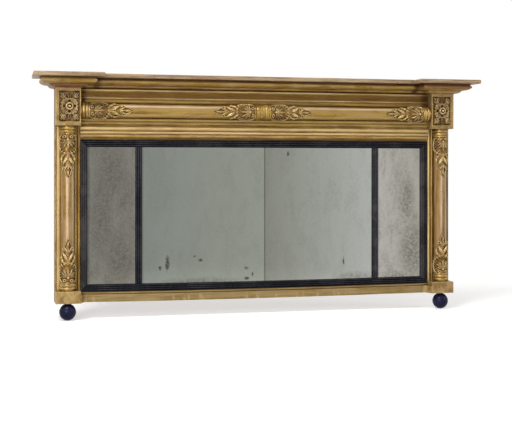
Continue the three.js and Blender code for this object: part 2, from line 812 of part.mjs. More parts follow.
// bed moulding: fillet, hollow, step, ovolo and a recessed fillet under the slab
const bedProjection = 46;
const ovoloStart = 21.5;
const bedShape = outline(
  [at(seat, 0), at(2.5, 0), at(2.5, 1.3), at(4, 1.3)],
  round(4, 6.8, 13, 5.5, -90, 0),
  [at(19, 6.8), at(19, 9.2), at(ovoloStart, 10.2)],
  round(ovoloStart, 22.2, bedProjection - ovoloStart, 12, -90, 0),
  [at(bedProjection, 24), at(bedProjection - 4, 24), at(bedProjection - 4, bedHeight - seat)],
  [at(seat, bedHeight - seat)]
);

// plan of the wall line that the cornice follows, from the left wall to the right wall
const planPath = [
  at(-blockOuterX, 0),
  at(-blockOuterX, -blockFront),
  at(-blockInnerX, -blockFront),
  at(-blockInnerX, -carcaseDepth),
  at(blockInnerX, -carcaseDepth),
  at(blockInnerX, -blockFront),
  at(blockOuterX, -blockFront),
  at(blockOuterX, 0),
];

// outward direction of the plan at each corner, long enough to keep mitres true
function mitreAt(i) {
  const ways = [];
  if (i > 0) ways.push(planPath[i].clone().sub(planPath[i - 1]));
  if (i + 1 < planPath.length) ways.push(planPath[i + 1].clone().sub(planPath[i]));
  const normals = ways.map((way) => at(way.y, -way.x).normalize());
  const outwards = normals[0].clone();
  if (normals.length === 2) {
    outwards.add(normals[1]).divideScalar(1 + normals[0].dot(normals[1]));
  }
  return outwards;
}

function bedStation(i, along = 0) {
  const outwards = mitreAt(i);
  return (u, v) =>
    new THREE.Vector3(planPath[i].x + outwards.x * u + along, planPath[i].y + outwards.y * u, blockTop + v);
}
const leftStations = [bedStation(0), bedStation(1), bedStation(2), bedStation(3, -seat / 2)];
const rightStations = [bedStation(4, seat / 2), bedStation(5), bedStation(6), bedStation(7)];
const centreStations = [bedStation(3, seat / 2), bedStation(4, -seat / 2)];
add("cornice_left", loft(bedShape, leftStations), gilding);
add("cornice_centre", loft(bedShape, centreStations), gilding);
add("cornice_right", loft(bedShape, rightStations), gilding);

// the slab follows the same plan, set out by its overhang, with eased edges
const slab = new THREE.Shape(
  planPath.map((point, i) => {
    const outwards = mitreAt(i);
    return at(point.x + outwards.x * slabOverhang, point.y + outwards.y * slabOverhang);
  })
);
const slabEase = 1.5;
const slabGeometry = new THREE.ExtrudeGeometry(slab, {
  depth: slabThickness - 2 * slabEase,
  bevelThickness: slabEase,
  bevelSize: slabEase,
  bevelOffset: -slabEase,
  bevelSegments: 1,
});
slabGeometry.translate(0, 0, corniceTop + slabEase);
add("cornice_slab", toGeometry(toSolid(slabGeometry)), gilding);

// ---------------------------------------------------------------- hangers on the back

// strap screwed to the stile, its top rolled into a knuckle round the bar of the ring
const knuckleRadius = knuckleBore + knuckleWall;
const strapPlate = block(
  [hangerX - strapWidth / 2, hangerX + strapWidth / 2],
  [seat, seat + strapThickness],
  [hangerHeight - strapLength, hangerHeight - knuckleRadius - 1]
);
const strapTongue = block(
  [hangerX - knuckleWidth / 2, hangerX + knuckleWidth / 2],
  [seat, seat + strapThickness],
  [hangerHeight - knuckleRadius - 2, hangerHeight + knuckleWall / 2]
);
function hingeCylinder(radius, length) {
  const cylinder = new THREE.CylinderGeometry(radius, radius, length, 20).rotateZ(Math.PI / 2);
  return cylinder.translate(hangerX, ringStandOff, hangerHeight);
}
const inTheStile = block(
  [hangerX - strapWidth, hangerX + strapWidth],
  [-knuckleRadius, seat],
  [hangerHeight - strapWidth, hangerHeight + strapWidth]
);
const strap = cut(
  join(strapPlate, strapTongue, hingeCylinder(knuckleRadius + 0.4, knuckleWidth)),
  hingeCylinder(knuckleBore, knuckleWidth + 2),
  inTheStile
);
addPair("hanger_strap", strap, brass);

// D-shaped ring: a straight bar through the knuckle, rounded corners and a half circle
const ringPath = new THREE.Path();
ringPath.moveTo(-ringBarHalf, 0);
ringPath.lineTo(ringBarHalf, 0);
ringPath.absarc(ringBarHalf, -ringCorner, ringCorner, Math.PI / 2, 0, true);
ringPath.absarc(0, -ringCorner, ringRadius, 0, -Math.PI, true);
ringPath.absarc(-ringBarHalf, -ringCorner, ringCorner, Math.PI, Math.PI / 2, true);
const ringPoints = ringPath.getSpacedPoints(ringSteps).slice(0, -1);
const ringCurve = new THREE.CatmullRomCurve3(
  ringPoints.map((point) => new THREE.Vector3(point.x, 0, point.y)),
  true
);
const ring = toGeometry(toSolid(new THREE.TubeGeometry(ringCurve, ringSteps, ringWire, 6, true)));
addPair("hanger_ring", ring.translate(hangerX, ringStandOff, hangerHeight), brass);

export default mirrorFrame;
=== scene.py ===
"""A giltwood and ebonised overmantel mirror of the early nineteenth century.

Everything is in metres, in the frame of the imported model: +X to the right, +Z up, the wall
behind at y = 0 and the plates facing -Y.
"""

import json
import math

import bmesh
import bpy
import numpy as np
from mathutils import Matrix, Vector, noise

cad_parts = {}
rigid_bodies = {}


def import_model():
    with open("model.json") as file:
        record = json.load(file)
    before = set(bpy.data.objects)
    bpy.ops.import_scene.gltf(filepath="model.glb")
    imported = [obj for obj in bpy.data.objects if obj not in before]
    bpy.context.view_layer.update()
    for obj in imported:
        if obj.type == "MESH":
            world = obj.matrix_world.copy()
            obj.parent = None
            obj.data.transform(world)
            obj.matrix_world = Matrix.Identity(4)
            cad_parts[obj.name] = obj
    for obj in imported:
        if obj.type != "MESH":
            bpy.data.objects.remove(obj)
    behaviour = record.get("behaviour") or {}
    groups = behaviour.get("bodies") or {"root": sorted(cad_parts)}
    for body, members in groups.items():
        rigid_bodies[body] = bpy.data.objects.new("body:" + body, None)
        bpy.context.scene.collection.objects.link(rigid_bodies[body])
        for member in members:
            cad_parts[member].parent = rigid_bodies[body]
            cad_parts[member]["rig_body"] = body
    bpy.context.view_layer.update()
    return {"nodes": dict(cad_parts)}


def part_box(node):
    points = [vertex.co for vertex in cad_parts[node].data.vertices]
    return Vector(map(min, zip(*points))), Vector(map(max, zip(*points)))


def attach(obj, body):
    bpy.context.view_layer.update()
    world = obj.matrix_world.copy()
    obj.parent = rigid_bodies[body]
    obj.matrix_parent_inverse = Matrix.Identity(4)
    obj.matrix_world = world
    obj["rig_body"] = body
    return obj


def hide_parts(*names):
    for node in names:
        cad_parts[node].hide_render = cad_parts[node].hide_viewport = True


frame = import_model()
nodes = frame["nodes"]
mm = 0.001


# ---------------------------------------------------------------------------------- the view
# The mirror was photographed level, from its left, from a good three metres, with a long lens
# shifted a little downwards, so that its uprights stay upright. It stands on a pale floor.

photo_width = 512
photo_height = 425
focal_pixels = 1080
horizon_row = 168
eye_x = -0.835
eye_distance = 3.436  # from the wall
eye_height = 0.470  # over the floor under the ball feet
view_turn = math.radians(13.6)  # to the right of straight on

foot_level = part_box("ball_foot_left")[0].z
sensor_width = 36
camera_data = bpy.data.cameras.new("camera")
camera_data.sensor_width = sensor_width
camera_data.lens = focal_pixels / photo_width * sensor_width
camera_data.shift_y = (horizon_row - photo_height / 2) / photo_width
camera = bpy.data.objects.new("camera", camera_data)
camera.location = (eye_x, -eye_distance, foot_level + eye_height)
camera.rotation_euler = (math.radians(90), 0, -view_turn)
scene = bpy.context.scene
scene.collection.objects.link(camera)
scene.camera = camera
scene.view_settings.view_transform = "Standard"


def add_node(tree, kind, values=None, **settings):
    """Adds a shader node, sets its own settings, then the named inputs in values."""
    made = tree.nodes.new("ShaderNode" + kind)
    for name, value in settings.items():
        setattr(made, name, value)
    for name, value in (values or {}).items():
        made.inputs[name].default_value = value
    return made


def seen_directly(tree):
    """1 for rays that show the white background: from the camera, or off metal and glass."""
    path = add_node(tree, "LightPath")
    either = add_node(tree, "Math", operation="MAXIMUM")
    tree.links.new(path.outputs["Is Camera Ray"], either.inputs[0])
    tree.links.new(path.outputs["Is Glossy Ray"], either.inputs[1])
    any_of_them = add_node(tree, "Math", operation="MAXIMUM")
    tree.links.new(either.outputs[0], any_of_them.inputs[0])
    tree.links.new(path.outputs["Is Transmission Ray"], any_of_them.inputs[1])
    return any_of_them.outputs[0]


def between(tree, value, low, high, to_low=0.0, to_high=1.0):
    """Brings low..high to to_low..to_high, held at both ends."""
    limits = {"From Min": low, "From Max": high, "To Min": to_low, "To Max": to_high}
    stretch = add_node(tree, "MapRange", limits, clamp=True)
    tree.links.new(value, stretch.inputs["Value"])
    return stretch.outputs["Result"]


def number(tree, operation, first, second=0.0):
    """One sum on two sockets or numbers."""
    sum_node = add_node(tree, "Math", operation=operation)
    for socket, given in zip(sum_node.inputs, (first, second)):
        if isinstance(given, bpy.types.NodeSocket):
            tree.links.new(given, socket)
        else:
            socket.default_value = given
    return sum_node.outputs[0]


# soft light from all round, and plain white where the room itself is seen
ambient_strength = 0.30
world = bpy.data.worlds.new("studio")
world.use_nodes = True
room = world.node_tree
room.nodes.clear()
soft_light = add_node(room, "Background", {"Color": (1.0, 0.985, 0.96, 1), "Strength": ambient_strength})
white_room = add_node(room, "Background", {"Color": (1, 1, 1, 1), "Strength": 1.0})
which = add_node(room, "MixShader")
room_output = add_node(room, "OutputWorld")
room.links.new(seen_directly(room), which.inputs[0])
room.links.new(soft_light.outputs[0], which.inputs[1])
room.links.new(white_room.outputs[0], which.inputs[2])
room.links.new(which.outputs[0], room_output.inputs[0])
scene.world = world

# floor: matt white, with a little glow of its own where it is seen. Away from the mirror it
# is seen as plain white, so that nothing but the mirror's own shadow shows on it.
floor_reach = 9.0
floor_glow = 0.37
near_floor = 0.85
far_floor = 1.9
floor_mesh = bpy.data.meshes.new("floor")
corners = [(-1, -1), (1, -1), (1, 1), (-1, 1)]
floor_places = [(x * floor_reach, y * floor_reach, foot_level) for x, y in corners]
floor_mesh.from_pydata(floor_places, [], [(0, 1, 2, 3)])
floor = bpy.data.objects.new("floor", floor_mesh)
scene.collection.objects.link(floor)
floor_paint = bpy.data.materials.new("floor_paint")
floor_paint.use_nodes = True
paint = floor_paint.node_tree
paint.nodes.clear()
matt_white = add_node(paint, "BsdfDiffuse", {"Color": (0.82, 0.82, 0.82, 1)})
glow = add_node(paint, "Emission", {"Color": (1, 1, 1, 1)})
plain_white = add_node(paint, "Emission", {"Color": (1, 1, 1, 1), "Strength": 1.0})
seen = seen_directly(paint)
paint.links.new(number(paint, "MULTIPLY", seen, floor_glow), glow.inputs["Strength"])
floor_spots = add_node(paint, "TexCoord")
from_mirror = add_node(paint, "VectorMath", operation="LENGTH")
paint.links.new(floor_spots.outputs["Object"], from_mirror.inputs[0])
away = between(paint, from_mirror.outputs["Value"], near_floor, far_floor)
lit_floor = add_node(paint, "AddShader")
floor_shader = add_node(paint, "MixShader")
paint_output = add_node(paint, "OutputMaterial")
paint.links.new(matt_white.outputs[0], lit_floor.inputs[0])
paint.links.new(glow.outputs[0], lit_floor.inputs[1])
paint.links.new(number(paint, "MULTIPLY", seen, away), floor_shader.inputs[0])
paint.links.new(lit_floor.outputs[0], floor_shader.inputs[1])
paint.links.new(plain_white.outputs[0], floor_shader.inputs[2])
paint.links.new(floor_shader.outputs[0], paint_output.inputs[0])
floor_mesh.materials.append(floor_paint)


def soft_lamp(name, place, aim, size, watts, tint=(1.0, 1.0, 1.0)):
    """A square soft box that points from its place at aim."""
    lamp_data = bpy.data.lights.new(name, "AREA")
    lamp_data.size = size
    lamp_data.energy = watts
    lamp_data.color = tint
    lamp = bpy.data.objects.new(name, lamp_data)
    lamp.location = place
    lamp.rotation_euler = (Vector(aim) - Vector(place)).to_track_quat("-Z", "Y").to_euler()
    scene.collection.objects.link(lamp)


soft_lamp("key_lamp", (-1.3, -1.6, 2.4), (0, -0.05, -0.15), 1.0, 72, (1.0, 0.98, 0.95))
soft_lamp("front_lamp", (-1.7, -2.9, 0.35), (0, 0, -0.2), 1.3, 46)
soft_lamp("right_lamp", (2.5, -1.0, 0.5), (0.2, 0, -0.2), 0.8, 13)
soft_lamp("back_lamp", (1.0, 3.0, 1.6), (0, 0, -0.1), 2.0, 34)


# ---------------------------------------------------------------------------------- carcase
# Two pine stiles and two pine rails, halved together at the corners and glued. They carry
# every gilt piece on their front, and are left as planed, grey-brown and dusty behind.

pine_pale = (0.40, 0.245, 0.115, 1)
pine_dark = (0.165, 0.085, 0.036, 1)
pine_grime = (0.045, 0.032, 0.022, 1)


def new_material(name):
    """A material with its principled shader and its tree."""
    material = bpy.data.materials.new(name)
    material.use_nodes = True
    tree = material.node_tree
    return material, tree, tree.nodes["Principled BSDF"]


def row_frame_places(tree, scale=(1, 1, 1), moved=(0, 0, 0)):
    """Places on the object, scaled: every piece's own origin is that of the row frame."""
    coordinates = add_node(tree, "TexCoord")
    mapping = add_node(tree, "Mapping", {"Location": moved, "Scale": scale})
    tree.links.new(coordinates.outputs["Object"], mapping.inputs["Vector"])
    return mapping.outputs[0]


def noise_at(tree, places, scale, detail=5.0, rough=0.55, distortion=0.0):
    """A noise texture's height at those places."""
    texture = add_node(
        tree,
        "TexNoise",
        {"Scale": scale, "Detail": detail, "Roughness": rough, "Distortion": distortion},
    )
    tree.links.new(places, texture.inputs["Vector"])
    return texture.outputs["Fac"]


def colour_mix(tree, factor, first, second):
    """Mixes two colours, either of which may be a socket or four numbers."""
    mix = add_node(tree, "Mix", data_type="RGBA")
    for socket, given in ((mix.inputs[0], factor), (mix.inputs[6], first), (mix.inputs[7], second)):
        if isinstance(given, bpy.types.NodeSocket):
            tree.links.new(given, socket)
        else:
            socket.default_value = given
    return mix.outputs[2]


def bump(tree, shader, height, depth, strength=1.0):
    """Raises the surface by a height texture, depth in metres."""
    made = add_node(tree, "Bump", {"Strength": strength, "Distance": depth})
    tree.links.new(height, made.inputs["Height"])
    tree.links.new(made.outputs[0], shader.inputs["Normal"])


def old_pine(name, grain_axis, grime=0.5, board=0.0):
    """Bare old softwood: growth lines along one axis, darker latewood and dust.

    board is another number for each board, cut from another part of the log."""
    material, tree, shader = new_material(name)
    along = [1.0 if axis == grain_axis else 15.0 for axis in range(3)]
    grain_places = row_frame_places(tree, along, (board, board * 3, board * 2))
    slow = noise_at(tree, grain_places, 3.4, 3.0, 0.5)
    rings = add_node(
        tree,
        "TexWave",
        {"Scale": 5.0, "Distortion": 9.0, "Detail": 3.0, "Detail Scale": 1.2, "Detail Roughness": 0.6},
        wave_type="RINGS",
        rings_direction="XYZ"[grain_axis],
    )
    tree.links.new(grain_places, rings.inputs["Vector"])
    fibre_places = row_frame_places(tree, [a * 9 for a in along], (board, 0, 0))
    fibre = noise_at(tree, fibre_places, 12.0, 4.0, 0.7)
    lines = number(tree, "MULTIPLY", between(tree, rings.outputs["Fac"], 0.35, 1.0), 0.65)
    late = number(tree, "ADD", lines, between(tree, fibre, 0.35, 0.75, 0.0, 0.4))
    wood = colour_mix(tree, late, pine_pale, pine_dark)
    blotch = between(tree, slow, 0.42, 0.72, 0.0, grime)
    dust = between(tree, noise_at(tree, row_frame_places(tree), 7.0, 6.0, 0.7), 0.45, 0.75, 0.0, grime)
    dirty = number(tree, "MAXIMUM", blotch, dust)
    tree.links.new(colour_mix(tree, dirty, wood, pine_grime), shader.inputs["Base Color"])
    shader.inputs["Roughness"].default_value = 0.86
    shader.inputs["Specular IOR Level"].default_value = 0.25
    bump(tree, shader, late, 0.25 * mm)
    return material


def finish_mesh(obj, material, sharp_over=50):
    """Shades a mesh smooth up to that many degrees, and gives it its material."""
    obj.data.shade_smooth()
    obj.data.set_sharp_from_angle(angle=math.radians(sharp_over))
    obj.data.materials.clear()
    obj.data.materials.append(material)


def put_in(obj, node):
    """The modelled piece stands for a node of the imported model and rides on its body."""
    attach(obj, nodes[node]["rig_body"])
    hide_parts(node)


noise.seed_set(1820)  # the same marks of the hand every time


def worked_by_hand(point, amount):
    """Moves a point as planing, gesso and sanding by hand leave it, out of true by amount."""
    slow = noise.noise_vector(point * 8) * amount
    quick = noise.noise_vector(point * 70) * (amount * 0.3)
    return point + slow + quick


def eased_copy(node, ease, slice_every=None, out_of_true=0.15 * mm):
    """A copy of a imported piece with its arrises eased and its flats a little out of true."""
    made = bmesh.new()
    made.from_mesh(nodes[node].data)
    bmesh.ops.remove_doubles(made, verts=made.verts, dist=1e-6)
    bmesh.ops.dissolve_limit(made, angle_limit=math.radians(1), verts=made.verts, edges=made.edges)
    arrises = [e for e in made.edges if e.is_convex and e.calc_face_angle(0) > math.radians(30)]
    bmesh.ops.bevel(
        made,
        geom=arrises,
        offset=ease,
        segments=2,
        profile=0.6,
        affect="EDGES",
        clamp_overlap=True,
    )
    low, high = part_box(node)
    if slice_every:
        for axis in range(3):
            cuts = int((high[axis] - low[axis]) / slice_every)
            normal = Vector([float(axis == i) for i in range(3)])
            for k in range(1, cuts):
                where = low + (high - low) * (k / cuts)
                everything = made.verts[:] + made.edges[:] + made.faces[:]
                bmesh.ops.bisect_plane(made, geom=everything, plane_co=where, plane_no=normal)
    for vertex in made.verts:
        vertex.co = worked_by_hand(vertex.co, out_of_true)
    mesh = bpy.data.meshes.new(node + "_eased")
    made.to_mesh(mesh)
    made.free()
    obj = bpy.data.objects.new(node + "_eased", mesh)
    scene.collection.objects.link(obj)
    return obj


x_axis, z_axis = 0, 2
rail_pine = old_pine("pine_rails", x_axis)
stile_pine = old_pine("pine_stiles", z_axis)
carcase = {
    "carcase_rail_top": rail_pine,
    "carcase_rail_bottom": rail_pine,
    "carcase_stile_left": stile_pine,
    "carcase_stile_right": stile_pine,
}
for node, pine in carcase.items():
    plank = eased_copy(node, 0.8 * mm, slice_every=30 * mm)
    finish_mesh(plank, pine)
    put_in(plank, node)


# ---------------------------------------------------------------------------------- plates
# Blown plate glass, silvered behind with tin and mercury. The two outer plates are the most
# decayed, the two that butt in the middle are clearer, with black spots near the lower edge.

sight_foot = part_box("glazing_bar_left")[0].z
sight_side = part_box("slip_right")[0].x
tarnish = (0.022, 0.018, 0.014, 1)
silver_brown = (0.098, 0.088, 0.070, 1)
# decayed spots: middle across and up from the sight edge, half width and half height
decay = [
    (-302 * mm, 60 * mm, 8 * mm, 27 * mm),
    (-325 * mm, 46 * mm, 6 * mm, 9 * mm),
    (-215 * mm, 81 * mm, 5 * mm, 4.5 * mm),
    (-196 * mm, 68 * mm, 8 * mm, 6 * mm),
    (-44 * mm, 40 * mm, 9 * mm, 6 * mm),
    (-43 * mm, 6 * mm, 10 * mm, 6 * mm),
    (-24 * mm, 20 * mm, 3.5 * mm, 8 * mm),
    (95 * mm, 409 * mm, 5 * mm, 9 * mm),
    (285 * mm, 56 * mm, 4 * mm, 14 * mm),
]
# brown clouds, of the same four measures
stains = [
    (-480 * mm, 350 * mm, 60 * mm, 130 * mm),
    (-450 * mm, 80 * mm, 65 * mm, 110 * mm),
    (-510 * mm, 190 * mm, 45 * mm, 130 * mm),
    (525 * mm, 90 * mm, 55 * mm, 125 * mm),
    (505 * mm, 260 * mm, 38 * mm, 110 * mm),
    (536 * mm, 200 * mm, 12 * mm, 14 * mm),
    (470 * mm, -4 * mm, 110 * mm, 30 * mm),
    (330 * mm, -4 * mm, 90 * mm, 30 * mm),
    (-200 * mm, -6 * mm, 180 * mm, 22 * mm),
]


def nearness(tree, across, up, marks):
    """Highest, 1, in the middle of the nearest of some marks, and 0 at its edge."""
    nearest = -1.0
    for mark_x, mark_up, half_wide, half_high in marks:
        aside = number(tree, "DIVIDE", number(tree, "SUBTRACT", across, mark_x), half_wide)
        above = number(tree, "DIVIDE", number(tree, "SUBTRACT", up, sight_foot + mark_up), half_high)
        aside = number(tree, "MULTIPLY", aside, aside)
        above = number(tree, "MULTIPLY", above, above)
        square = number(tree, "ADD", aside, above)
        nearest = number(tree, "MAXIMUM", nearest, number(tree, "SUBTRACT", 1.0, square))
    return nearest


def decayed_spots(tree, across, up, ragged):
    """1 inside the decayed spots, whose edges are ragged and speckled."""
    near = nearness(tree, across, up, decay)
    near = number(tree, "ADD", near, number(tree, "MULTIPLY", ragged, 1.9))
    return between(tree, near, 0.10, 0.85)


def silvering(name, left_tone_and_reflection, right_tone_and_reflection, span, mottle, foxing, seed, shaded_edge, shade_width):
    """Old silvering whose tone goes from one side of the plate to the other: its own uneven silver with
    a painted reflection of the room.
    """
    material, tree, shader = new_material(name)
    places = row_frame_places(tree, moved=(seed, 0, seed * 0.7))
    separate = add_node(tree, "SeparateXYZ")
    tree.links.new(row_frame_places(tree), separate.inputs[0])
    across, up = separate.outputs["X"], separate.outputs["Z"]
    tone = colour_mix(tree, between(tree, across, span[0], span[1]), left_tone_and_reflection, right_tone_and_reflection)
    cloud = between(tree, noise_at(tree, places, 9.0, 6.0, 0.65, 0.4), 0.32, 0.72, -0.5, 0.5)
    grain = between(tree, noise_at(tree, places, 190.0, 4.0, 0.75), 0.3, 0.7, -0.5, 0.5)
    broad = number(tree, "MULTIPLY", cloud, mottle * 0.6)
    uneven = number(tree, "ADD", broad, number(tree, "MULTIPLY", grain, mottle * 1.2))
    brown_places = row_frame_places(tree, (1.6, 1, 0.7), (seed, 2, 0))
    brown_noise = noise_at(tree, brown_places, 12.0, 6.0, 0.7, 0.6)
    browned = between(tree, brown_noise, 0.46, 0.62, 0.0, mottle * 2.6)
    speckled = between(tree, noise_at(tree, places, 120.0, 5.0, 0.8), 0.38, 0.60, 0.15, 1.0)
    ragged = between(tree, noise_at(tree, places, 150.0, 5.0, 0.8, 0.6), 0.3, 0.7, -0.5, 0.5)
    near_stain = nearness(tree, across, up, stains)
    stained = number(tree, "ADD", near_stain, number(tree, "MULTIPLY", ragged, 0.6))
    stained = between(tree, stained, 0.0, 1.1, 0.0, 0.85)
    browned = number(tree, "MULTIPLY", number(tree, "MAXIMUM", browned, stained), speckled)
    tone = colour_mix(tree, browned, tone, silver_brown)
    # painted shade: the silver is darker along the plate's left edge, beside the slip, bar or join
    dull = between(tree, across, shaded_edge, shaded_edge + shade_width, 0.42, 1.0)
    level = number(tree, "MULTIPLY", number(tree, "ADD", 1.0, uneven), dull)
    scaled = add_node(tree, "VectorMath", operation="SCALE")
    tree.links.new(tone, scaled.inputs[0])
    tree.links.new(level, scaled.inputs["Scale"])
    # speckles gather where the slow noise is high and towards the lower edge
    gather = between(tree, noise_at(tree, places, 5.0, 3.0, 0.6), 0.5, 0.75)
    low_edge = between(tree, up, sight_foot, sight_foot + 45 * mm, 0.8, 0.0)
    where = number(tree, "MAXIMUM", gather, low_edge)
    speck = between(tree, noise_at(tree, places, 95.0, 5.0, 0.8, 0.8), 0.66 - foxing * 0.08, 0.72)
    spots = number(tree, "MULTIPLY", speck, number(tree, "MULTIPLY", where, foxing))
    decayed = number(tree, "MAXIMUM", spots, decayed_spots(tree, across, up, ragged))
    foxed = colour_mix(tree, number(tree, "MULTIPLY", decayed, 0.85), scaled.outputs[0], tarnish)
    tree.links.new(foxed, shader.inputs["Base Color"])
    shader.inputs["Metallic"].default_value = 1.0
    tree.links.new(between(tree, cloud, -0.5, 0.5, 0.05, 0.12), shader.inputs["Roughness"])
    shader.inputs["Coat Weight"].default_value = 0.2
    shader.inputs["Coat Roughness"].default_value = 0.02
    bump(tree, shader, noise_at(tree, row_frame_places(tree), 4.0, 1.0), 1.2 * mm, 0.25)
    return material


bar_left_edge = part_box("glazing_bar_left")[1].x
bar_right_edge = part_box("glazing_bar_right")[1].x
# each plate's tone at its left and its right, its own silver with a painted reflection of the room, then
# its mottle, foxing and seed
plate_tones_and_reflections = {
    "glass_left": ((0.190, 0.188, 0.160, 1), (0.205, 0.193, 0.168, 1), 0.26, 0.7, 3.1),
    "glass_centre_left": ((0.215, 0.238, 0.212, 1), (0.275, 0.292, 0.250, 1), 0.06, 0.2, 7.7),
    "glass_centre_right": ((0.228, 0.236, 0.200, 1), (0.405, 0.425, 0.392, 1), 0.07, 0.2, 1.9),
    "glass_right": ((0.43, 0.42, 0.38, 1), (0.355, 0.340, 0.295, 1), 0.16, 0.7, 5.3),
}
join_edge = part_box("glass_centre_right")[0].x
# where each plate's painted shade along its left edge starts, and how far in it goes
left_edge_shades = {
    "glass_left": (-sight_side, 10 * mm),
    "glass_centre_left": (bar_left_edge, 7 * mm),
    "glass_centre_right": (join_edge, 5 * mm),
    "glass_right": (bar_right_edge, 6 * mm),
}
for node, (left_tone_and_reflection, right_tone_and_reflection, *condition) in plate_tones_and_reflections.items():
    low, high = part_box(node)
    span = (low.x, high.x)
    silver = silvering(node + "_silver", left_tone_and_reflection, right_tone_and_reflection, span, *condition, *left_edge_shades[node])
    nodes[node].data.materials.clear()
    nodes[node].data.materials.append(silver)


# ---------------------------------------------------------------------------------- the back
# Thin pine boards close the rebate behind the plates, held by cut nails, and pine fillets
# glued above and below keep the plates against the slip.

fillet_pine = old_pine("pine_fillets", x_axis, grime=0.2)
for place, number_of_board in (("left", 1.3), ("centre", 4.1), ("right", 8.6)):
    grime = 0.25 + 0.04 * number_of_board
    board_pine = old_pine("pine_backboard_" + place, z_axis, grime, number_of_board)
    board = eased_copy("backboard_" + place, 1.0 * mm, slice_every=40 * mm, out_of_true=0.25 * mm)
    finish_mesh(board, board_pine)
    put_in(board, "backboard_" + place)
for place in ("top", "bottom"):
    fillet = eased_copy("glass_fillet_" + place, 0.6 * mm)
    finish_mesh(fillet, fillet_pine)
    put_in(fillet, "glass_fillet_" + place)


# ---------------------------------------------------------------------------------- slip
# Three black reeds between a lip at the glass and a fillet at the outside, run on pine, laid
# with gesso and black polish, and mitred at the corners. Two reeded bars cover the joints.


def new_piece(name, points, faces):
    """A mesh object from points and faces, in the row frame."""
    mesh = bpy.data.meshes.new(name)
    mesh.from_pydata([tuple(p) for p in points], [], faces)
    mesh.update()
    obj = bpy.data.objects.new(name, mesh)
    scene.collection.objects.link(obj)
    return obj


def outline_across(node, axis):
    """The outline of a straight run, cut square across its middle, as its other two numbers."""
    low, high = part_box(node)
    made = bmesh.new()
    made.from_mesh(nodes[node].data)
    bmesh.ops.remove_doubles(made, verts=made.verts, dist=1e-6)
    everything = made.verts[:] + made.edges[:] + made.faces[:]
    normal = Vector([float(axis == i) for i in range(3)])
    cut = bmesh.ops.bisect_plane(made, geom=everything, plane_co=(low + high) / 2, plane_no=normal)
    beside = {}
    for edge in [e for e in cut["geom_cut"] if isinstance(e, bmesh.types.BMEdge)]:
        for one, other in (edge.verts, reversed(edge.verts)):
            beside.setdefault(one, []).append(other)
    first = next(iter(beside))
    loop = [first, beside[first][0]]
    while True:
        ahead = [v for v in beside[loop[-1]] if v is not loop[-2]][0]
        if ahead is first:
            break
        loop.append(ahead)
    p, q = [i for i in range(3) if i != axis]
    points = [Vector((v.co[p], v.co[q])) for v in loop]
    made.free()
    return without_straight_points(points)


def turn_at(points, i):
    """How far an outline turns at its point i, in radians, either way."""
    before = points[i] - points[i - 1]
    after = points[(i + 1) % len(points)] - points[i]
    return abs(before.angle_signed(after, 0.0))


def without_straight_points(points):
    """Drops the points where an outline doesn't turn."""
    return [points[i] for i in range(len(points)) if turn_at(points, i) > math.radians(1)]


arris_turn = math.radians(38)  # a sharper turn than this is an arris, a softer one is a curve
longest_facet = 5.6 * mm


def smoothed(points):
    """Puts a point in the middle of each facet of an outline's curves."""
    count = len(points)
    curved = [turn_at(points, i) < arris_turn for i in range(count)]
    result = []
    for i in range(count):
        a, b = points[i], points[(i + 1) % count]
        result.append(a)
        facet = (b - a).length
        if facet > longest_facet or not (curved[i] or curved[(i + 1) % count]):
            continue
        along = (b - a).normalized()
        middle = (a + b) / 2
        before = a + (points[i - 1] - a).normalized() * facet
        after = b + (points[(i + 2) % count] - b).normalized() * facet
        if not curved[i]:
            before = after - along * (2 * (after - middle).dot(along))
        if not curved[(i + 1) % count]:
            after = before - along * (2 * (before - middle).dot(along))
        result.append(middle + (middle - (before + after) / 2) / 8)
    return result


def softened(points, ease):
    """Makes an outline's curves smooth and eases its arrises, as gesso and sanding do."""
    points = smoothed(smoothed(points))
    count = len(points)
    result = []
    for i in range(count):
        here = points[i]
        if turn_at(points, i) < arris_turn:
            result.append(here)
            continue
        back = points[i - 1] - here
        ahead = points[(i + 1) % count] - here
        start = here + back.normalized() * min(ease, 0.4 * back.length)
        end = here + ahead.normalized() * min(ease, 0.4 * ahead.length)
        for t in (0.0, 0.33, 0.67, 1.0):
            result.append(start * (1 - t) ** 2 + here * (2 * t * (1 - t)) + end * t**2)
    return result


def lofted(name, rings, out_of_true):
    """Skins a list of rings of points, closes both ends, and works it by hand."""
    count = len(rings[0])
    points = [worked_by_hand(p, out_of_true) for ring in rings for p in ring]
    faces = [tuple(range(count)), tuple(range(len(points) - 1, len(points) - 1 - count, -1))]
    for r in range(len(rings) - 1):
        for i in range(count):
            a = r * count + i
            b = r * count + (i + 1) % count
            faces.append((b, a, a + count, b + count))
    obj = new_piece(name, points, faces)
    made = bmesh.new()
    made.from_mesh(obj.data)
    bmesh.ops.recalc_face_normals(made, faces=made.faces)
    bmesh.ops.triangulate(made, faces=[f for f in made.faces if len(f.verts) > 4])
    made.to_mesh(obj.data)
    made.free()
    return obj


ring_spacing = 7 * mm  # along a run, close enough to be worked by hand


def straight_run(node, axis, ease, out_of_true, mitre=None, settled=None):
    """Models a straight run again from its own section, its ends square or mitred.

    mitre gives, for a point of the section, how far that point's ends draw in, and settled
    how far the frame's lower edge hangs down at x: a standing run's foot follows it."""
    low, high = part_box(node)
    section = softened(outline_across(node, axis), ease)
    p, q = [i for i in range(3) if i != axis]
    steps = max(2, round((high[axis] - low[axis]) / ring_spacing))
    rings = []
    for step in range(steps + 1):
        ring = []
        for point in section:
            draw_in = mitre(point) if mitre else 0.0
            place = Vector((0, 0, 0))
            place[p], place[q] = point
            start = low[axis] + draw_in
            place[axis] = start + (high[axis] - draw_in - start) * step / steps
            if settled:
                place.z -= settled(place.x) * (1 - step / steps if axis == z_axis else 1)
            ring.append(place)
        rings.append(ring)
    return lofted(node + "_run", rings, out_of_true)


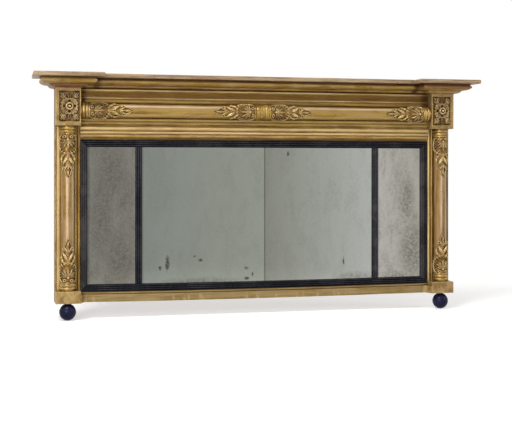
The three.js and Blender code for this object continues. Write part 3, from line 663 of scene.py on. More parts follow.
ebony_black = (0.0025, 0.0030, 0.0060, 1)
ebony_grey = (0.0075, 0.0080, 0.0125, 1)
ebony_worn = (0.060, 0.040, 0.028, 1)
ebony_dust_and_sheen = (0.036, 0.036, 0.042, 1)
ebony_sheen = (0.056, 0.052, 0.055, 1)


def line_along(tree, axis, centre, half_width, streaks):
    """1 along a line of the given half width about a place on one axis, streaky and soft."""
    separate = add_node(tree, "SeparateXYZ")
    tree.links.new(row_frame_places(tree), separate.inputs[0])
    aside = number(tree, "ABSOLUTE", number(tree, "SUBTRACT", separate.outputs[axis], centre))
    line = between(tree, aside, half_width * 0.25, half_width, 1.0, 0.0)
    return number(tree, "MULTIPLY", line, between(tree, streaks, 0.36, 0.60, 0.45, 1.0))


def ebony_polish(name, deep, cloud, lines=()):
    """Black polish over gesso: deep blue-black, with a soft shine and rubbed edges.

    lines lists grey lines along a run, of dust and painted sheen: the axis, place, half width and
    colour."""
    material, tree, shader = new_material(name)
    places = row_frame_places(tree)
    worn = between(tree, noise_at(tree, places, 40.0, 6.0, 0.7), 0.52, 0.74)
    edge = between(tree, add_node(tree, "NewGeometry").outputs["Pointiness"], 0.53, 0.62)
    rubbed = number(tree, "MULTIPLY", worn, edge)
    cloudy = between(tree, noise_at(tree, places, 14.0), 0.35, 0.7)
    black = colour_mix(tree, cloudy, deep, cloud)
    for axis, centre, half_width, colour in lines:
        black = colour_mix(tree, line_along(tree, axis, centre, half_width, cloudy), black, colour)
    tree.links.new(colour_mix(tree, rubbed, black, ebony_worn), shader.inputs["Base Color"])
    tree.links.new(between(tree, worn, 0.0, 1.0, 0.26, 0.42), shader.inputs["Roughness"])
    shader.inputs["Specular IOR Level"].default_value = 0.09
    bump(tree, shader, noise_at(tree, places, 190.0, 4.0, 0.6), 0.12 * mm, 0.5)
    return material


def reed_dust_and_sheen(node, axis):
    """Where the reeds of a run stand out, as grey lines of dust and painted sheen for its polish."""
    across = z_axis if axis == x_axis else x_axis
    section = [(p[1], p[0]) if axis == z_axis else (p[0], p[1]) for p in outline_across(node, axis)]
    found = []
    for i, (depth, place) in enumerate(section):
        if depth < section[i - 1][0] and depth < section[(i + 1) % len(section)][0]:
            found.append((across, place, 2.0 * mm, ebony_dust_and_sheen))
    return found


def black_polish(node, axis, sheen=()):
    """The polish of one run: black in the quirks and greyer on the reeds, with dust and painted sheen.
    """
    lines = reed_dust_and_sheen(node, axis) + list(sheen)
    return ebony_polish(node + "_polish", ebony_black, ebony_grey, lines)


slip_low, slip_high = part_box("slip_left")
top_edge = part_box("slip_top")[1].z
bottom_low, bottom_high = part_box("slip_bottom")
rail_sag = 3 * mm  # the lower edge has settled this much in the middle of its length


def settled(x):
    """How far the lower edge has settled at x."""
    return rail_sag * (1 - (x / bottom_high.x) ** 2)


def run_and_finish(node, axis, material, slot, ease=0.35 * mm, out_of_true=0.12 * mm, **shaping):
    """One straight run, modelled, finished and put in the place of its node."""
    piece = straight_run(node, axis, ease, out_of_true, **shaping)
    finish_mesh(piece, material)
    put_in(piece, node)


right_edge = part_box("slip_right")[1].x
mitres = {
    "slip_top": lambda point: top_edge - point[1],
    "slip_bottom": lambda point: point[1] - bottom_low.z,
    "slip_left": lambda point: point[0] - slip_low.x,
    "slip_right": lambda point: right_edge - point[0],
}
# painted sheen: the polish of these standing runs is painted grey where it would catch the room's light,
# on the right slip only next to its plate
bar_low, bar_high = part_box("glazing_bar_right")
sheens = {
    "glazing_bar_right": [(x_axis, (bar_low.x + bar_high.x) / 2, 11 * mm, ebony_sheen)],
    "slip_left": [(x_axis, (slip_low.x + slip_high.x) / 2, 14 * mm, ebony_sheen)],
    "slip_right": [(x_axis, sight_side + 5 * mm, 9 * mm, ebony_sheen)],
}
for node, mitre in mitres.items():
    axis = x_axis if node in ("slip_top", "slip_bottom") else z_axis
    polish = black_polish(node, axis, sheens.get(node, ()))
    hangs = settled if node == "slip_bottom" else None
    run_and_finish(node, axis, polish, "ebonised", mitre=mitre, settled=hangs)
for side in ("left", "right"):
    node = "glazing_bar_" + side
    polish = black_polish(node, z_axis, sheens.get(node, ()))
    run_and_finish(node, z_axis, polish, "ebonised", settled=settled)


# ---------------------------------------------------------------------------------- base
# A gilt rail under the slip, hollow returns that bring it forward at either end, and two
# plain blocks that stand in front of it. They are pine laid with gesso, red bole and leaf.

gold_olive = (0.375, 0.236, 0.046, 1)
gold_brown = (0.195, 0.098, 0.019, 1)
gold_pale = (0.62, 0.455, 0.215, 1)
bole_red = (0.105, 0.036, 0.016, 1)
rubbed_rose = (0.36, 0.215, 0.125, 1)
gesso_cream_highlight = (0.57, 0.465, 0.365, 1)
tip_highlight_gold = (0.74, 0.56, 0.27, 1)
dark_dirt_and_shade = (0.040, 0.014, 0.004, 1)
smoke_and_shade_brown = (0.115, 0.050, 0.010, 1)
gold_tint = (1.0, 0.78, 0.46, 1)  # of the gloss on the leaf


def gold_leaf(
    name,
    run_axis=None,
    leaf_colours=(gold_brown, gold_olive),
    bole=0.5,
    rose=0.5,
    pale=0.5,
    rub=0.8,
    shine=0.25,
    hollow_shade=0.5,
    crevice_dirt_and_shade=0.6,
    crevice=6 * mm,
    tip_highlights=0.0,
    gloss=(0.34, 0.50),
    lines=(),
):
    """Burnished leaf over bole, streaked along its run, worn on edges, and darkened in hollows with dirt
    and painted shade.

    rub is how pale its arrises have worn, hollow_shade how brown broad hollows are painted as
    shade and crevice_dirt_and_shade how dark narrow ones are, with dirt and painted shade.
    tip_highlights is how much lighter the high parts of a casting are painted, as highlight,
    than its ground, which is painted with shade. lines lists painted highlight, shade and dirt
    along the run: the axis, place and half width of each line, and its colour."""
    material, tree, shader = new_material(name)
    stretch = [22.0] * 3
    if run_axis is not None:
        stretch = [4.0 if axis == run_axis else 38.0 for axis in range(3)]
    streaks = noise_at(tree, row_frame_places(tree, stretch), 2.2, 6.0, 0.62, 0.3)
    patches = noise_at(tree, row_frame_places(tree), 16.0, 6.0, 0.6, 0.4)
    fine = noise_at(tree, row_frame_places(tree), 140.0, 5.0, 0.7)
    leaf = colour_mix(tree, between(tree, streaks, 0.40, 0.57), *leaf_colours)
    light = number(tree, "MULTIPLY", between(tree, patches, 0.45, 0.72), pale * 0.6)
    leaf = colour_mix(tree, light, leaf, gold_pale)
    pink_places = row_frame_places(tree, stretch, (3, 1, 2))
    pink = between(tree, noise_at(tree, pink_places, 1.7, 5.0), 0.5, 0.68, 0.0, rose)
    leaf = colour_mix(tree, pink, leaf, rubbed_rose)
    if run_axis is not None:
        hair_places = row_frame_places(tree, [3.0 if axis == run_axis else 120.0 for axis in range(3)])
        hairs = between(tree, noise_at(tree, hair_places, 2.0, 4.0, 0.6), 0.54, 0.66, 0.0, 0.4)
        leaf = colour_mix(tree, hairs, leaf, smoke_and_shade_brown)
    worn = between(tree, add_node(tree, "NewGeometry").outputs["Pointiness"], 0.505, 0.60)
    worn = number(tree, "MULTIPLY", worn, between(tree, fine, 0.42, 0.62, 0.25 * rub, rub))
    leaf = colour_mix(tree, worn, leaf, gold_pale)
    # lines of painted highlight, shade and dirt along the run
    for axis, centre, half_width, colour in lines:
        leaf = colour_mix(tree, line_along(tree, axis, centre, half_width, streaks), leaf, colour)
    chip_places = row_frame_places(tree, moved=(5, 5, 5))
    gone = between(tree, noise_at(tree, chip_places, 55.0, 6.0, 0.72, 0.5), 0.60, 0.70, 0.0, bole)
    leaf = colour_mix(tree, gone, leaf, bole_red)
    # painted highlight on the high parts of a casting, and painted shade on its low ground
    if tip_highlights:
        raised = add_node(tree, "Attribute", attribute_name="raised").outputs["Fac"]
        leaf = colour_mix(tree, between(tree, raised, 0.15, 0.50, 0.7, 0.0), leaf, smoke_and_shade_brown)
        high_up = between(tree, raised, 0.52, 0.92)
        tip_highlight_mask = number(tree, "MULTIPLY", high_up, between(tree, fine, 0.30, 0.55))
        leaf = colour_mix(tree, number(tree, "MULTIPLY", tip_highlight_mask, tip_highlights), leaf, tip_highlight_gold)
    # painted shade: broad hollows go brown by occlusion, and narrow crevices darker, with dirt and shade
    sheltered_shade = add_node(tree, "AmbientOcclusion", {"Distance": 35 * mm}, samples=8)
    browned = between(tree, sheltered_shade.outputs["AO"], 0.40, 0.92, hollow_shade, 0.0)
    leaf = colour_mix(tree, browned, leaf, smoke_and_shade_brown)
    hollow = add_node(tree, "AmbientOcclusion", {"Distance": crevice}, samples=8)
    dirt_and_shade_mask = between(tree, hollow.outputs["AO"], 0.25, 0.80, crevice_dirt_and_shade, 0.0)
    tree.links.new(colour_mix(tree, dirt_and_shade_mask, leaf, dark_dirt_and_shade), shader.inputs["Base Color"])
    clean = number(tree, "SUBTRACT", 1.0, number(tree, "MAXIMUM", dirt_and_shade_mask, gone))
    tree.links.new(number(tree, "MULTIPLY", clean, shine), shader.inputs["Metallic"])
    tree.links.new(between(tree, patches, 0.3, 0.7, *gloss), shader.inputs["Roughness"])
    shader.inputs["Specular IOR Level"].default_value = 0.3
    shader.inputs["Specular Tint"].default_value = gold_tint
    bump(tree, shader, fine, 0.16 * mm, 0.6)
    return material


rail_colours = ((0.190, 0.125, 0.040, 1), (0.270, 0.195, 0.088, 1))
rail_gilding = gold_leaf("rail_gilding", x_axis, rail_colours, bole=0.25, rose=0.2, pale=0.2, rub=0.6)
block_colours = ((0.180, 0.108, 0.040, 1), (0.340, 0.232, 0.082, 1))
block_gilding = gold_leaf("block_gilding", None, block_colours, bole=0.3, rose=0.6, pale=0.9, hollow_shade=0.4)
run_and_finish("base_rail", x_axis, rail_gilding, "gilding", 0.7 * mm, 0.3 * mm, settled=settled)
for side in ("left", "right"):
    for node in ("base_block_" + side, "base_cove_" + side):
        block = eased_copy(node, 0.9 * mm, slice_every=4 * mm, out_of_true=0.3 * mm)
        finish_mesh(block, block_gilding)
        put_in(block, node)


# ---------------------------------------------------------------------------------- ball feet
# Each foot is a ball, a short neck and a dowel, turned in one from beech, blacked and
# polished, and driven up into its base block.


def turned(name, profile, centre, along, first=0.0, last=math.tau, segments=64):
    """Turns a profile of (radius, length) points about an axis, all round or part of the way."""
    length_way = Vector(along)
    side_way = Vector((1, 0, 0)) if abs(length_way.x) < 0.5 else Vector((0, 0, 1))
    front_way = side_way.cross(length_way).normalized()
    if front_way.y > 0:
        front_way = -front_way
    full = last - first > math.tau - 1e-6
    stations = segments if full else segments + 1
    rings = []
    for k in range(stations):
        angle = first + (last - first) * k / segments
        way = front_way * math.cos(angle) + side_way * math.sin(angle)
        rings.append([Vector(centre) + way * r + length_way * s for r, s in profile])
    count = len(profile)
    points = [p for ring in rings for p in ring]
    faces = []
    for k in range(segments):
        a = k * count
        b = ((k + 1) % stations) * count
        for i in range(count if not full else count - 1):
            j = (i + 1) % count
            faces.append((a + i, a + j, b + j, b + i))
    if not full:
        faces += [tuple(range(count)), tuple(range(len(points) - 1, len(points) - 1 - count, -1))]
    obj = new_piece(name, points, faces)
    made = bmesh.new()
    made.from_mesh(obj.data)
    bmesh.ops.remove_doubles(made, verts=made.verts, dist=1e-6)
    bmesh.ops.recalc_face_normals(made, faces=made.faces)
    made.to_mesh(obj.data)
    made.free()
    return obj


foot_polish = ebony_polish("foot_polish", (0.006, 0.006, 0.024, 1), (0.016, 0.015, 0.046, 1))
foot_ball = 26 * mm
foot_flat = 4 * mm
foot_neck = 8 * mm
foot_dowel = 6 * mm
seat = 0.3 * mm  # the thickness of glue between two pieces
for side in ("left", "right"):
    node = "ball_foot_" + side
    low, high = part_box(node)
    centre = Vector(((low.x + high.x) / 2, (low.y + high.y) / 2, low.z))
    middle = math.sqrt(foot_ball**2 - foot_flat**2)
    start = math.pi - math.asin(foot_flat / foot_ball)
    end = math.asin(foot_neck / foot_ball)
    angles = [start + (end - start) * k / 40 for k in range(41)]
    profile = [(0.0, 0.0)]
    profile += [(foot_ball * math.sin(a), middle + foot_ball * math.cos(a)) for a in angles]
    neck_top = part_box("base_block_" + side)[0].z - low.z
    profile += [(foot_neck, neck_top - seat), (foot_dowel, neck_top - seat)]
    profile += [(foot_dowel, high.z - low.z), (0.0, high.z - low.z)]
    foot = turned(node + "_turned", profile, centre, (0, 0, 1))
    finish_mesh(foot, foot_polish)
    put_in(foot, node)


# ---------------------------------------------------------------------------------- pilasters
# Behind each column stands a moulded board: a fillet and a bead next to the slip, a seat for
# the column, and a hollow that dies away to the outer edge. The column is turned and then
# flattened behind; its gold is rubbed through to bole and pale gesso, and pale lines of
# painted highlight run down columns and pilasters.

column_radius = 20.5 * mm
shaft_ease, shaft_out_of_true = 0.6 * mm, 0.25 * mm
column_place = sum(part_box("column_right"), Vector()).x / 2
column_colours = (gold_brown, (0.30, 0.19, 0.075, 1))
worn_cream_highlight = (0.52, 0.385, 0.255, 1)
# painted highlights, over rubbed gesso, down the shafts where the lamps catch them
column_highlights_and_wear = [
    (x_axis, -column_place - 2.5 * mm, 5.5 * mm, worn_cream_highlight),
    (x_axis, -column_place + 16 * mm, 6 * mm, worn_cream_highlight),
    (x_axis, column_place - 4 * mm, 4.5 * mm, gesso_cream_highlight),
    (x_axis, column_place + 15 * mm, 4.5 * mm, gesso_cream_highlight),
]
right_bead = right_edge + 4 * mm
# painted highlights on the pilasters: on their outer hollows, on the left bead and on the right bead
upright_highlights = [
    (x_axis, -column_place - 28 * mm, 5 * mm, gold_pale),
    (x_axis, -column_place + 21 * mm, 6 * mm, gold_pale),
    (x_axis, column_place + 28 * mm, 5 * mm, gold_pale),
    (x_axis, right_bead, 4.5 * mm, tip_highlight_gold),
]
upright_gilding = gold_leaf(
    "upright_gilding", z_axis, bole=0.5, rose=0.35, pale=0.8, hollow_shade=0.3, crevice_dirt_and_shade=0.4, lines=upright_highlights
)
column_gilding = gold_leaf(
    "column_gilding",
    z_axis,
    column_colours,
    bole=0.6,
    rose=0.9,
    pale=0.3,
    shine=0.12,
    lines=column_highlights_and_wear,
)
for side in ("left", "right"):
    for kind, gilding in (("pilaster_", upright_gilding), ("column_", column_gilding)):
        run_and_finish(kind + side, z_axis, gilding, "worn_gilding", shaft_ease, shaft_out_of_true)


# ---------------------------------------------------------------------------------- frieze
# The frieze is built up from two run mouldings with a turned column laid between them, its
# tongue glued to the top rail. The arrises of the mouldings are soft and rubbed.

frieze_axis = sum(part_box("frieze_column"), Vector()).z / 2
shade_gold = (0.29, 0.195, 0.062, 1)
painted_light_gold = (0.45, 0.31, 0.11, 1)
# painted light on the lying column: a cream highlight along its top, partly rubbed gesso, a darker band
# under it and a lighter band low down
lying_light_and_shade = [
    (z_axis, frieze_axis + 13.5 * mm, 4.5 * mm, gesso_cream_highlight),
    (z_axis, frieze_axis + 4 * mm, 9 * mm, shade_gold),
    (z_axis, frieze_axis - 14 * mm, 6 * mm, painted_light_gold),
]
lying_gilding = gold_leaf(
    "lying_column_gilding", x_axis, bole=0.5, rose=0.5, pale=0.3, shine=0.1, hollow_shade=0.2, lines=lying_light_and_shade
)
inner_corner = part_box("corner_block_right")[0].x
# painted shade lies in the corners beside the blocks and in the hollow, and painted highlight on the
# fillet and the bead
corner_shade = [
    (x_axis, -inner_corner + 6 * mm, 16 * mm, dark_dirt_and_shade),
    (x_axis, inner_corner - 8 * mm, 22 * mm, dark_dirt_and_shade),
]
upper_light_and_shade = [
    (z_axis, frieze_axis + 50 * mm, 12 * mm, smoke_and_shade_brown),
    (z_axis, frieze_axis + 66 * mm, 8 * mm, gold_pale),
    (z_axis, frieze_axis + 39 * mm, 6 * mm, gold_pale),
] + corner_shade
upper_gilding = gold_leaf(
    "upper_gilding", x_axis, bole=0.4, rose=0.4, pale=0.4, hollow_shade=0.35, crevice_dirt_and_shade=0.25, lines=upper_light_and_shade
)
lower_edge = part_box("frieze_lower_moulding")[0].z
# painted shade, with dirt, along the lower edge over the slip, and painted highlight and light on the
# members above it
lower_light_and_shade = [
    (z_axis, lower_edge + 1 * mm, 8.5 * mm, dark_dirt_and_shade),
    (z_axis, lower_edge - 1 * mm, 5.5 * mm, dark_dirt_and_shade),
    (z_axis, lower_edge + 23 * mm, 11 * mm, gold_pale),
    (z_axis, lower_edge + 36 * mm, 5 * mm, gold_pale),
    (z_axis, lower_edge + 60 * mm, 12 * mm, painted_light_gold),
]
lower_gilding = gold_leaf(
    "lower_gilding", x_axis, bole=0.3, rose=0.4, pale=0.9, hollow_shade=0.05, crevice_dirt_and_shade=0.1, lines=lower_light_and_shade
)
run_and_finish("frieze_upper_moulding", x_axis, upper_gilding, "gilding", 0.7 * mm, 0.3 * mm)
run_and_finish("frieze_lower_moulding", x_axis, lower_gilding, "gilding", 0.7 * mm, 0.3 * mm)
run_and_finish("frieze_column", x_axis, lying_gilding, "worn_gilding", 0.6 * mm, 0.3 * mm)


# ---------------------------------------------------------------------------------- collars
# Each end of a column has a turned collar: a neck, a ring, a fat torus and a thin bead, split
# and fitted round the front of the shaft. The frieze has a double one in its middle.

collar_gilding = gold_leaf(
    "collar_gilding",
    bole=0.3,
    rose=0.4,
    pale=0.9,
    rub=1.2,
    shine=0.5,
    crevice_dirt_and_shade=1.0,
    crevice=4 * mm,
    gloss=(0.24, 0.38),
)
collar_members = {"neck": (1.5, 3.5), "ring": (5.0, 9.0), "torus": (4.2, 9.5), "bead": (3.0, 5.0)}
end_members = ("neck", "ring", "torus", "bead")
centre_members = ("bead", "torus", "bead", "bead", "torus", "bead")
collar_reach = math.radians(99)


def collar_profile(members, length):
    """The closed profile of a collar, from the block towards the shaft."""
    inside = column_radius + seat
    total = sum(collar_members[name][1] for name in members)
    profile = [(inside, 0.0)]
    done = 0.0
    for name in members:
        rise, run = collar_members[name]
        span = run * length / total
        foot = inside + rise * 0.45 * mm
        for k in range(13):
            turn = math.pi * k / 12
            swell = math.sin(turn) ** 0.8
            length_way = done + span * (0.5 - 0.46 * math.cos(turn))
            profile.append((foot + rise * 0.55 * mm * swell, length_way))
        done += span
    return profile + [(inside, done)]


def collar(node, members, along):
    """A collar in its node's place, laid along the axis from the given end."""
    low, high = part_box(node)
    along = Vector(along)
    axis = x_axis if along.x else z_axis
    length = high[axis] - low[axis]
    centre = (low + high) / 2
    centre.y = low.y + column_radius + seat + max(collar_members[m][0] for m in members) * mm
    centre[axis] = low[axis] if along[axis] > 0 else high[axis]
    profile = collar_profile(members, length)
    made = turned(node + "_turned", profile, centre, along, -collar_reach, collar_reach, 60)
    finish_mesh(made, collar_gilding, 60)
    put_in(made, node)


for side in ("left", "right"):
    collar("column_collar_bottom_" + side, end_members, (0, 0, 1))
    collar("column_collar_top_" + side, end_members, (0, 0, -1))
collar("frieze_collar_left", end_members, (1, 0, 0))
collar("frieze_collar_right", end_members, (-1, 0, 0))
collar("frieze_collar_centre", centre_members, (1, 0, 0))


# ---------------------------------------------------------------------------------- castings
# Leaf ornaments pressed from composition in a boxwood mould, bent warm round the shaft and
# glued: a palmette in a curled rim next to the collar, then leaves that close to a point.


def along_curve(controls, steps=18):
    """Points on a Bezier curve through two to four control points."""
    t = np.linspace(0, 1, steps)[:, None]
    points = np.array(controls, float)
    degree = len(points) - 1
    return sum(
        math.comb(degree, k) * t**k * (1 - t) ** (degree - k) * points[k] for k in range(degree + 1)
    )


class Relief:
    """A height field over a flat patch, in millimetres, that leaves are laid on."""

    def __init__(self, x_span, y_span, cell, ground):
        self.x = np.arange(x_span[0], x_span[1] + cell / 2, cell)
        self.y = np.arange(y_span[0], y_span[1] + cell / 2, cell)
        self.grid_x, self.grid_y = np.meshgrid(self.x, self.y, indexing="ij")
        self.height = np.full(self.grid_x.shape, float(ground))

    def lay(self, height):
        """Keeps the higher of what is there and the new height."""
        self.height = np.maximum(self.height, height)

    def leaf(self, controls, width, rise, lobes=0, vein=0.35, base=0.4, club=0.0, cupped=False):
        """A leaf along a curve: width and rise in mm, lobes along its edges, a sunk vein."""
        spine = along_curve(controls)
        count = len(spine) - 1
        nearest = np.full(self.grid_x.shape, 1e9)
        place = np.zeros(self.grid_x.shape)
        for k in range(count):
            (ax, ay), (bx, by) = spine[k], spine[k + 1]
            dx, dy = bx - ax, by - ay
            t = ((self.grid_x - ax) * dx + (self.grid_y - ay) * dy) / (dx * dx + dy * dy)
            t = np.clip(t, 0, 1)
            gap = np.hypot(self.grid_x - ax - t * dx, self.grid_y - ay - t * dy)
            closer = gap < nearest
            nearest = np.where(closer, gap, nearest)
            place = np.where(closer, (k + t) / count, place)
        bulge = base + (1 - base) * np.sin(np.pi * np.clip(place * (0.62 + 0.3 * club) + 0.1, 0, 1))
        close = np.sqrt(np.clip(1 - place ** (6 if club else 3), 0, 1))
        half = width / 2 * bulge * close
        if lobes:
            half = half * (1 + 0.24 * np.cos(2 * np.pi * lobes * place))
        across = nearest / np.maximum(half, 1e-3)
        if cupped:
            wall = np.sqrt(np.clip(1 - ((across - 0.72) / 0.28) ** 2, 0, 1))
            dome = np.where(across < 0.72, 0.5 + 0.5 * (across / 0.72) ** 2, wall)
        else:
            dome = np.clip(1 - across**2, 0, 1) ** 0.55
        groove = 1 - vein * np.exp(-((across / 0.22) ** 2))
        if lobes:
            ribs = 1 - 0.22 * (0.5 - 0.5 * np.cos(2 * np.pi * lobes * (place + 0.18 * across)))
            dome = dome * ribs
        lift = rise * (0.62 + 0.38 * np.sin(np.pi * (0.15 + 0.6 * place)))
        self.lay(np.where(across < 1, lift * dome * groove, -1e9))

    def curl(self, x, y, radius, thick, rise):
        """A volute seen from its front: a round rim and an eye."""
        off = np.abs(np.hypot(self.grid_x - x, self.grid_y - y) - radius) / thick
        self.lay(np.where(off < 1, rise * np.sqrt(np.clip(1 - off**2, 0, 1)), -1e9))
        self.knob(x, y, (radius - thick) * 0.8, rise * 0.8)

    def knob(self, x, y, radius, rise, foot=0.0):
        """A round bead or boss, its foot raised by foot."""
        r = np.hypot(self.grid_x - x, self.grid_y - y) / radius
        self.lay(np.where(r < 1, foot + rise * np.sqrt(np.clip(1 - r**2, 0, 1)), -1e9))

    def drill(self, x, y, radius, floor):
        """A drilled hole down to floor."""
        r = np.hypot(self.grid_x - x, self.grid_y - y)
        self.height = np.where(r < radius, np.minimum(self.height, floor), self.height)


cell = 0.62  # of the height fields, in mm
buried = -0.9  # the castings' edges go this far under the shaft's surface, in mm
casting_back = -1.3  # and the sheet behind them lies here


def ornament_relief():
    """The column ornament: x runs from the collar to the point, y round the shaft."""
    relief = Relief((0, 132), (-32, 32), cell, buried)
    cup = np.hypot((relief.grid_x - 28) / 28, relief.grid_y / 27) < 1
    relief.lay(np.where(cup, 1.2, -1e9))
    for angle, reach, width in ((0, 31, 6.2), (25, 30, 5.8), (49, 26, 5.4), (74, 20, 5.0)):
        turn = math.radians(angle)
        for side in (1, -1):
            root = (14 + 3 * math.cos(turn), side * 3 * math.sin(turn))
            end = (14 + reach * math.cos(turn), side * reach * math.sin(turn))
            relief.leaf((root, end), width, 8.4, vein=0.45, base=0.25, club=1.0)
            off = turn + math.radians(12.5)
            relief.knob(14 + 19 * math.cos(off), side * 19 * math.sin(off), 1.7, 6.0)
    relief.knob(13.5, 0, 3.6, 8.4)
    for side in (1, -1):
        rim = [(1, side * 19), (13, side * 38), (52, side * 37), (57, side * 1)]
        relief.leaf(rim, 4.6, 6.6, vein=0.0, base=0.85)
        relief.curl(5.5, side * 9.5, 3.4, 1.9, 6.0)
        fringe = ((2, 22, 125), (8, 27, 108), (15, 30, 92), (23, 31.5, 80), (31, 31, 68))
        for x, y, away in fringe + ((38, 28.5, 56), (45, 24, 45), (51, 18, 34), (55, 11, 20)):
            tip = (x + 8 * math.cos(math.radians(away)), side * (y + 6 * math.sin(math.radians(away))))
            relief.leaf(((x - 4, side * (y - 4)), tip), 5.2, 7.6, vein=0.4)
        for x, y in ((12, 24), (21, 26), (30, 25.5), (38, 22), (44, 17)):
            relief.leaf(((x, side * y), (x + 4, side * (y - 7))), 3.6, 6.4)
        outer_leaf = [(57, side * 4), (62, side * 20), (78, side * 23), (88, side * 14)]
        relief.leaf(outer_leaf, 8.5, 7.4, lobes=3)
        inner_leaf = [(68, side * 2), (78, side * 8), (93, side * 13)]
        relief.leaf(inner_leaf, 9.5, 8.4, vein=0.25, base=0.3, club=1.0)
        relief.curl(102, side * 10.5, 3.5, 2.0, 6.2)
        relief.leaf([(90, side * 2), (99, side * 4), (107, side * 9)], 5.5, 6.6, vein=0.2)
        relief.leaf([(107, side * 9), (118, side * 8), (130, side * 0.5)], 3.8, 5.4, vein=0.0, base=0.9)
    relief.leaf([(56, 0), (80, 0)], 12, 5.2, vein=0.4, base=0.7)
    relief.leaf([(92, 0), (108, 0)], 5.0, 7.2)
    relief.leaf([(108, 0), (126, 0)], 7.5, 6.6, vein=0.3)
    return relief


def relief_piece(name, relief, place, back, edge=None):
    """A closed shell: the relief in front, a sheet at height back behind, walls at its rim.

    Where the field lies at edge or lower there is no casting, so nothing is made."""
    rows, columns = relief.height.shape
    flat_x, flat_y, heights = relief.grid_x.ravel(), relief.grid_y.ravel(), relief.height.ravel()
    front = [place(x, y, h) for x, y, h in zip(flat_x, flat_y, heights)]
    behind = [place(x, y, back) for x, y in zip(flat_x, flat_y)]
    total = rows * columns
    faces = []
    borders = {}
    high = relief.height > (edge if edge is not None else -1e9)
    for i in range(rows - 1):
        for j in range(columns - 1):
            if not high[i : i + 2, j : j + 2].any():
                continue
            a = i * columns + j
            quad = (a, a + columns, a + columns + 1, a + 1)
            faces.append(quad)
            faces.append(tuple(total + v for v in reversed(quad)))
            for one, other in zip(quad, quad[1:] + quad[:1]):
                if borders.pop((other, one), None) is None:
                    borders[(one, other)] = True
    for one, other in borders:
        faces.append((other, one, total + one, total + other))
    obj = new_piece(name, front + behind, faces)
    raised = (heights - heights.min()) / (heights.max() - heights.min())
    how_high = obj.data.attributes.new("raised", "FLOAT", "POINT")
    how_high.data.foreach_set("value", np.concatenate([raised, raised * 0]))
    made = bmesh.new()
    made.from_mesh(obj.data)
    bmesh.ops.delete(made, geom=[v for v in made.verts if not v.link_faces], context="VERTS")
    bmesh.ops.recalc_face_normals(made, faces=made.faces)
    made.to_mesh(obj.data)
    made.free()
    return obj


# the leaf castings are painted lighter on their high parts as highlight, darker on their ground as shade
carved_gilding = gold_leaf(
    "carved_gilding",
    None,
    (bole_red, gold_olive),
    bole=0.6,
    pale=0.8,
    rub=1.3,
    shine=0.4,
    crevice_dirt_and_shade=1.1,
    tip_highlights=0.9,
    gloss=(0.26, 0.42),
)

leafwork = ornament_relief()
skin = column_radius / mm  # of the shaft, from its axis, in mm


def on_shaft(node, along):
    """How a point of the ornament goes on its column: x along it, y round it, h out of it."""
    low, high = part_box(node)
    axis = x_axis if along[0] else z_axis
    start = low[axis] if along[axis] > 0 else high[axis]
    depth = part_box("column_right")[0].y + column_radius
    across = (low + high) / 2

    def place(x, y, h):
        radius = (skin + h) * mm
        angle = y / skin
        point = Vector((across.x, depth, across.z))
        point.y -= radius * math.cos(angle)
        point[z_axis - axis] += radius * math.sin(angle)
        point[axis] = start + along[axis] * x * mm
        return point

    return place


ornaments = {}
for side in ("left", "right"):
    ornaments["column_ornament_bottom_" + side] = (0, 0, 1)
    ornaments["column_ornament_top_" + side] = (0, 0, -1)
ornaments["frieze_ornament_end_left"] = (1, 0, 0)
ornaments["frieze_ornament_centre_left"] = (-1, 0, 0)
ornaments["frieze_ornament_centre_right"] = (1, 0, 0)
ornaments["frieze_ornament_end_right"] = (-1, 0, 0)
for node, along in ornaments.items():
    casting = relief_piece(
        node + "_cast", leafwork, on_shaft(node, along), casting_back, buried + 0.01
    )
    finish_mesh(casting, carved_gilding, 180)
    put_in(casting, node)


# ---------------------------------------------------------------------------------- blocks
# A square block stands over each column. Its sunken panel holds a casting in bold relief:
# four cupped petals round a ringed boss, drilled between them, with a leaf in each corner.

for side in ("left", "right"):
    node = "corner_block_" + side
    block = eased_copy(node, 0.8 * mm, slice_every=5 * mm, out_of_true=0.3 * mm)
    finish_mesh(block, block_gilding)
    put_in(block, node)


# the panel casting is painted lighter on its high parts as highlight, darker in its ground as shade
panel_colours = ((0.105, 0.050, 0.034, 1), (0.265, 0.175, 0.080, 1))
panel_gilding = gold_leaf(
    "panel_gilding",
    None,
    panel_colours,
    bole=0.4,
    pale=0.7,
    rub=1.3,
    shine=0.3,
    hollow_shade=0.4,
    crevice_dirt_and_shade=1.1,
    tip_highlights=1.0,
)


